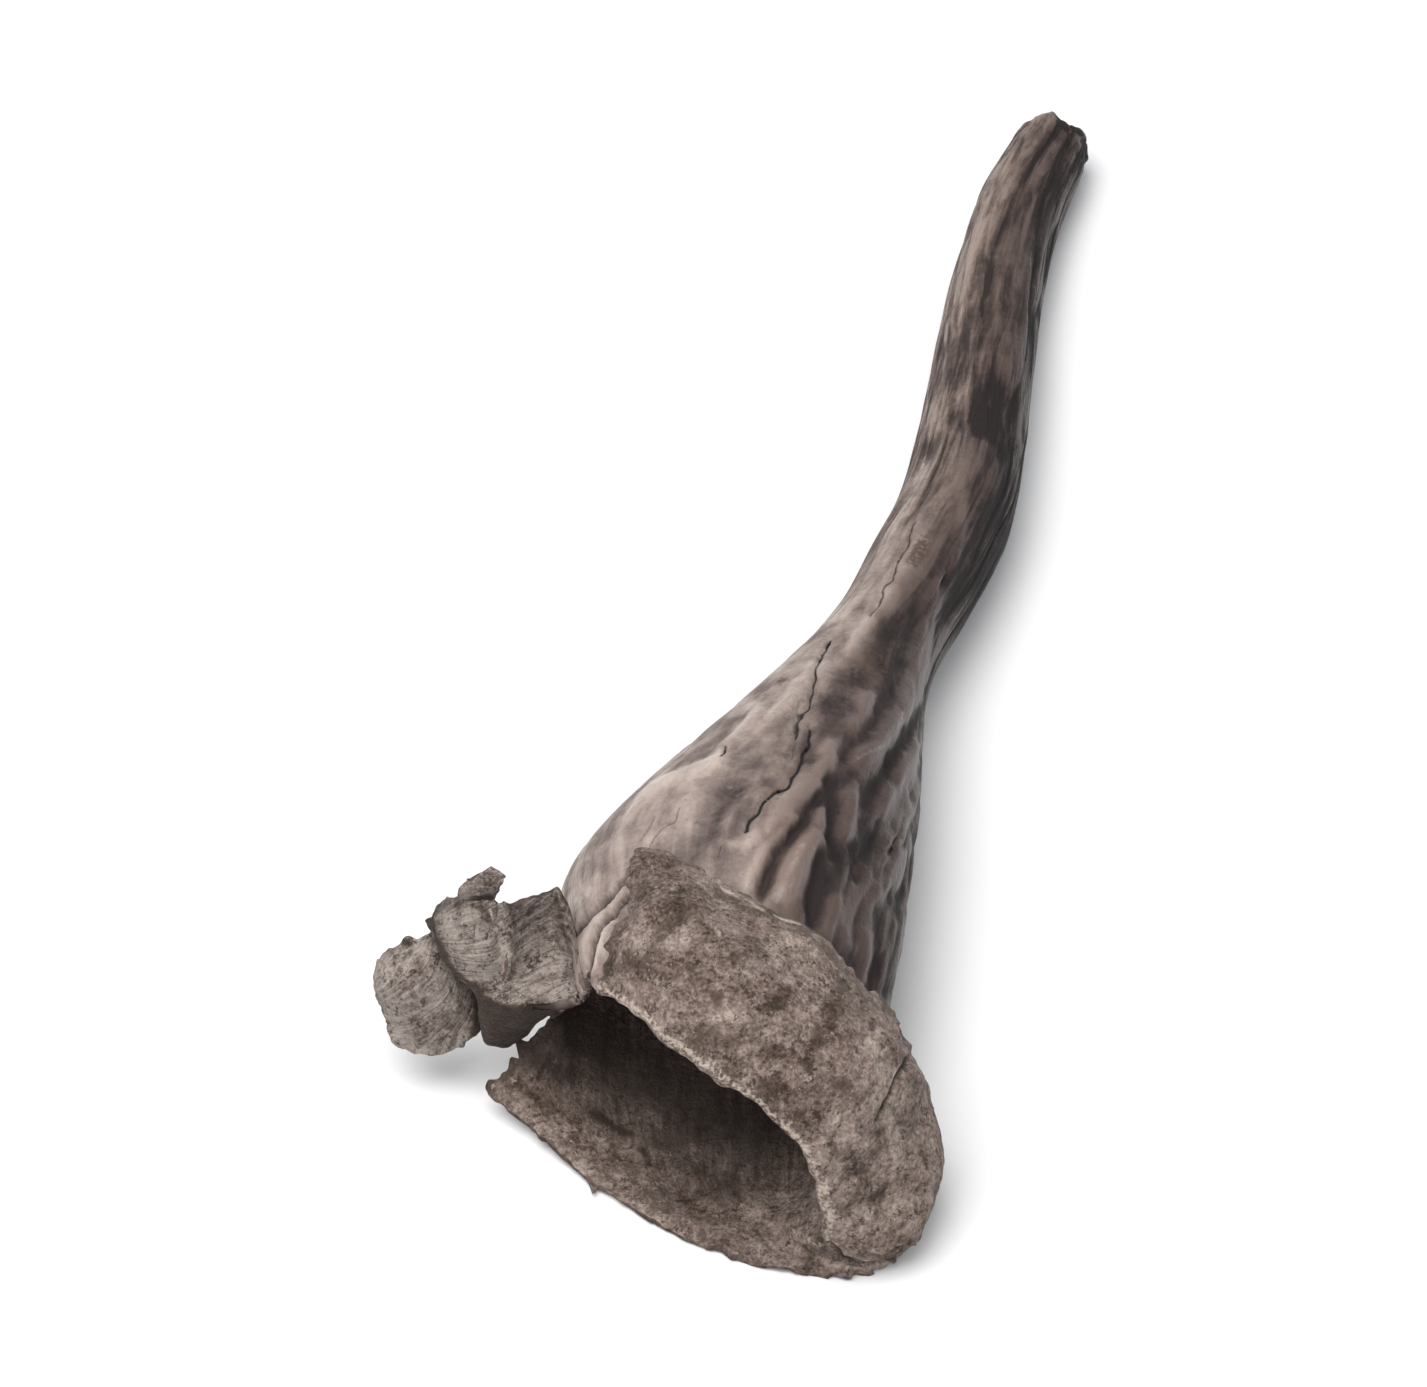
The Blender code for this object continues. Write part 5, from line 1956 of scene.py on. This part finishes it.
@dataclass
class DriedMushroom:
    """The whole mushroom: one wall, drawn, smoothed, thickened and worked on both sides."""

    form: TrumpetForm = field(default_factory=TrumpetForm)
    sculptor: WallSculptor = field(default_factory=WallSculptor)

    # The middle of the mushroom's box in the frame of the tables
    middle: tuple[float, float] = (2.338, 8.143)

    def build(self) -> Piece:
        """Build the mushroom and return it as one finished piece."""
        cage = WallCage(self.form)
        piece = cage.draw()
        LOG.info("cage drawn: %d points", len(piece.data.vertices))
        for finish in (OuterSkin(), Suede(), TornFlesh()):
            piece.data.materials.append(finish.make())
        cage.smooth(piece)
        self.sculptor.read(piece)
        self.sculptor.find_margin(piece)
        self.sculptor.tear_margin()
        self.sculptor.buckle()
        self.sculptor.store_places(piece)
        cage.thicken(piece)
        self.sculptor.work_sides(piece)
        thinner = MeshThinner()
        thinner.thin_inside(piece, self.sculptor.count, self.sculptor.beyond)
        thinner.thin_all(piece)
        self.centre(piece)
        piece.data.shade_smooth()
        LOG.info("wall finished: %d faces", len(piece.data.polygons))
        return piece

    def centre(self, piece: Piece) -> None:
        """Put the middle of the mushroom over the origin, in the mesh itself."""
        places = read_floats(piece.data.vertices, "co", 3)
        places[:, :2] -= np.array(self.middle) * MM
        piece.data.vertices.foreach_set("co", places.ravel())
        piece.data.update()


@dataclass
class Studio:
    """The plain pale floor, the soft light and the camera, with lengths in metres."""

    floor_size: float = 6.0
    floor_shade: Colour = (0.86, 0.86, 0.865, 1.0)
    floor_cloud: Colour = (0.8471, 0.8471, 0.852025, 1.0)
    floor_specular: float = 0.2
    floor_roughness: float = 0.7
    sky: Colour = (0.93, 0.96, 1.0, 1.0)
    sky_strength: float = 0.50
    key_place: Point = (-0.15, -0.12, 0.60)
    key_size: float = 0.55
    key_power: float = 4.5
    fill_place: Point = (0.00, -0.52, 0.30)
    fill_size: float = 0.50
    fill_power: float = 0.9
    light_shade: Point = (1.0, 0.985, 0.965)
    lens: float = 202.5
    sensor: float = 36.0
    clip_start: float = 0.01
    tilt: float = 42.0
    distance: float = 0.450
    target: Point = (-0.002338, -0.008143, 0.006)

    def lay_floor(self) -> Piece:
        """Lay the pale floor and return it."""
        bpy.ops.object.select_all(action="DESELECT")
        bpy.ops.mesh.primitive_plane_add(size=self.floor_size)
        floor = bpy.context.object
        floor.name = "pale_floor"
        recipe = Recipe("pale_floor")
        cloud = recipe.noise(recipe.places(0.01), 0.6)
        shade = recipe.mix(cloud, self.floor_shade, self.floor_cloud)
        recipe.shader.inputs["Specular IOR Level"].default_value = self.floor_specular
        recipe.feed(recipe.shader.inputs["Base Color"], shade)
        recipe.shader.inputs["Roughness"].default_value = self.floor_roughness
        floor.data.materials.append(recipe.material)
        return floor

    def light(self) -> None:
        """Set the pale surroundings and the soft light from the upper left."""
        world = bpy.data.worlds.new("studio")
        world.use_nodes = True
        backdrop = world.node_tree.nodes["Background"]
        backdrop.inputs["Color"].default_value = self.sky
        backdrop.inputs["Strength"].default_value = self.sky_strength
        bpy.context.scene.world = world
        self.hang("soft_key", self.key_place, self.key_size, self.key_power)
        self.hang("soft_fill", self.fill_place, self.fill_size, self.fill_power)

    def hang(self, name: str, place: Point, size: float, power: float) -> None:
        """Hang a square soft light that faces the mushroom.

        Args:
            name: The light's name.
            place: Where it hangs, in metres.
            size: Its side, in metres.
            power: Its power, in watts.
        """
        bpy.ops.object.light_add(type="AREA", location=place)
        lamp = bpy.context.object
        lamp.name = name
        lamp.data.size = size
        lamp.data.energy = power
        lamp.data.color = self.light_shade
        aim = Vector(self.target) - Vector(place)
        lamp.rotation_euler = aim.to_track_quat("-Z", "Y").to_euler()

    def set_camera(self) -> None:
        """Place the camera at the photograph's viewing angle."""
        angle = math.radians(self.tilt)
        away = Vector((0.0, -math.cos(angle), math.sin(angle))) * self.distance
        bpy.ops.object.camera_add(location=Vector(self.target) + away)
        camera = bpy.context.object
        camera.rotation_euler = (-away).to_track_quat("-Z", "Y").to_euler()
        camera.data.sensor_width = self.sensor
        camera.data.lens = self.lens
        camera.data.clip_start = self.clip_start
        bpy.context.scene.camera = camera

    def set_up(self) -> None:
        """Set up floor, light, camera and plain colours."""
        self.lay_floor()
        self.light()
        self.set_camera()
        bpy.context.scene.view_settings.view_transform = "Standard"


def main() -> None:
    """Build the mushroom, dress it and set up the studio."""
    logging.basicConfig(level=logging.INFO, format="%(message)s")
    mushroom = DriedMushroom().build()
    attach(mushroom, "root")
    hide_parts(NODE)
    LOG.info("piece %s rides on root", mushroom.name)
    Studio().set_up()


if __name__ == "__main__":
    main()
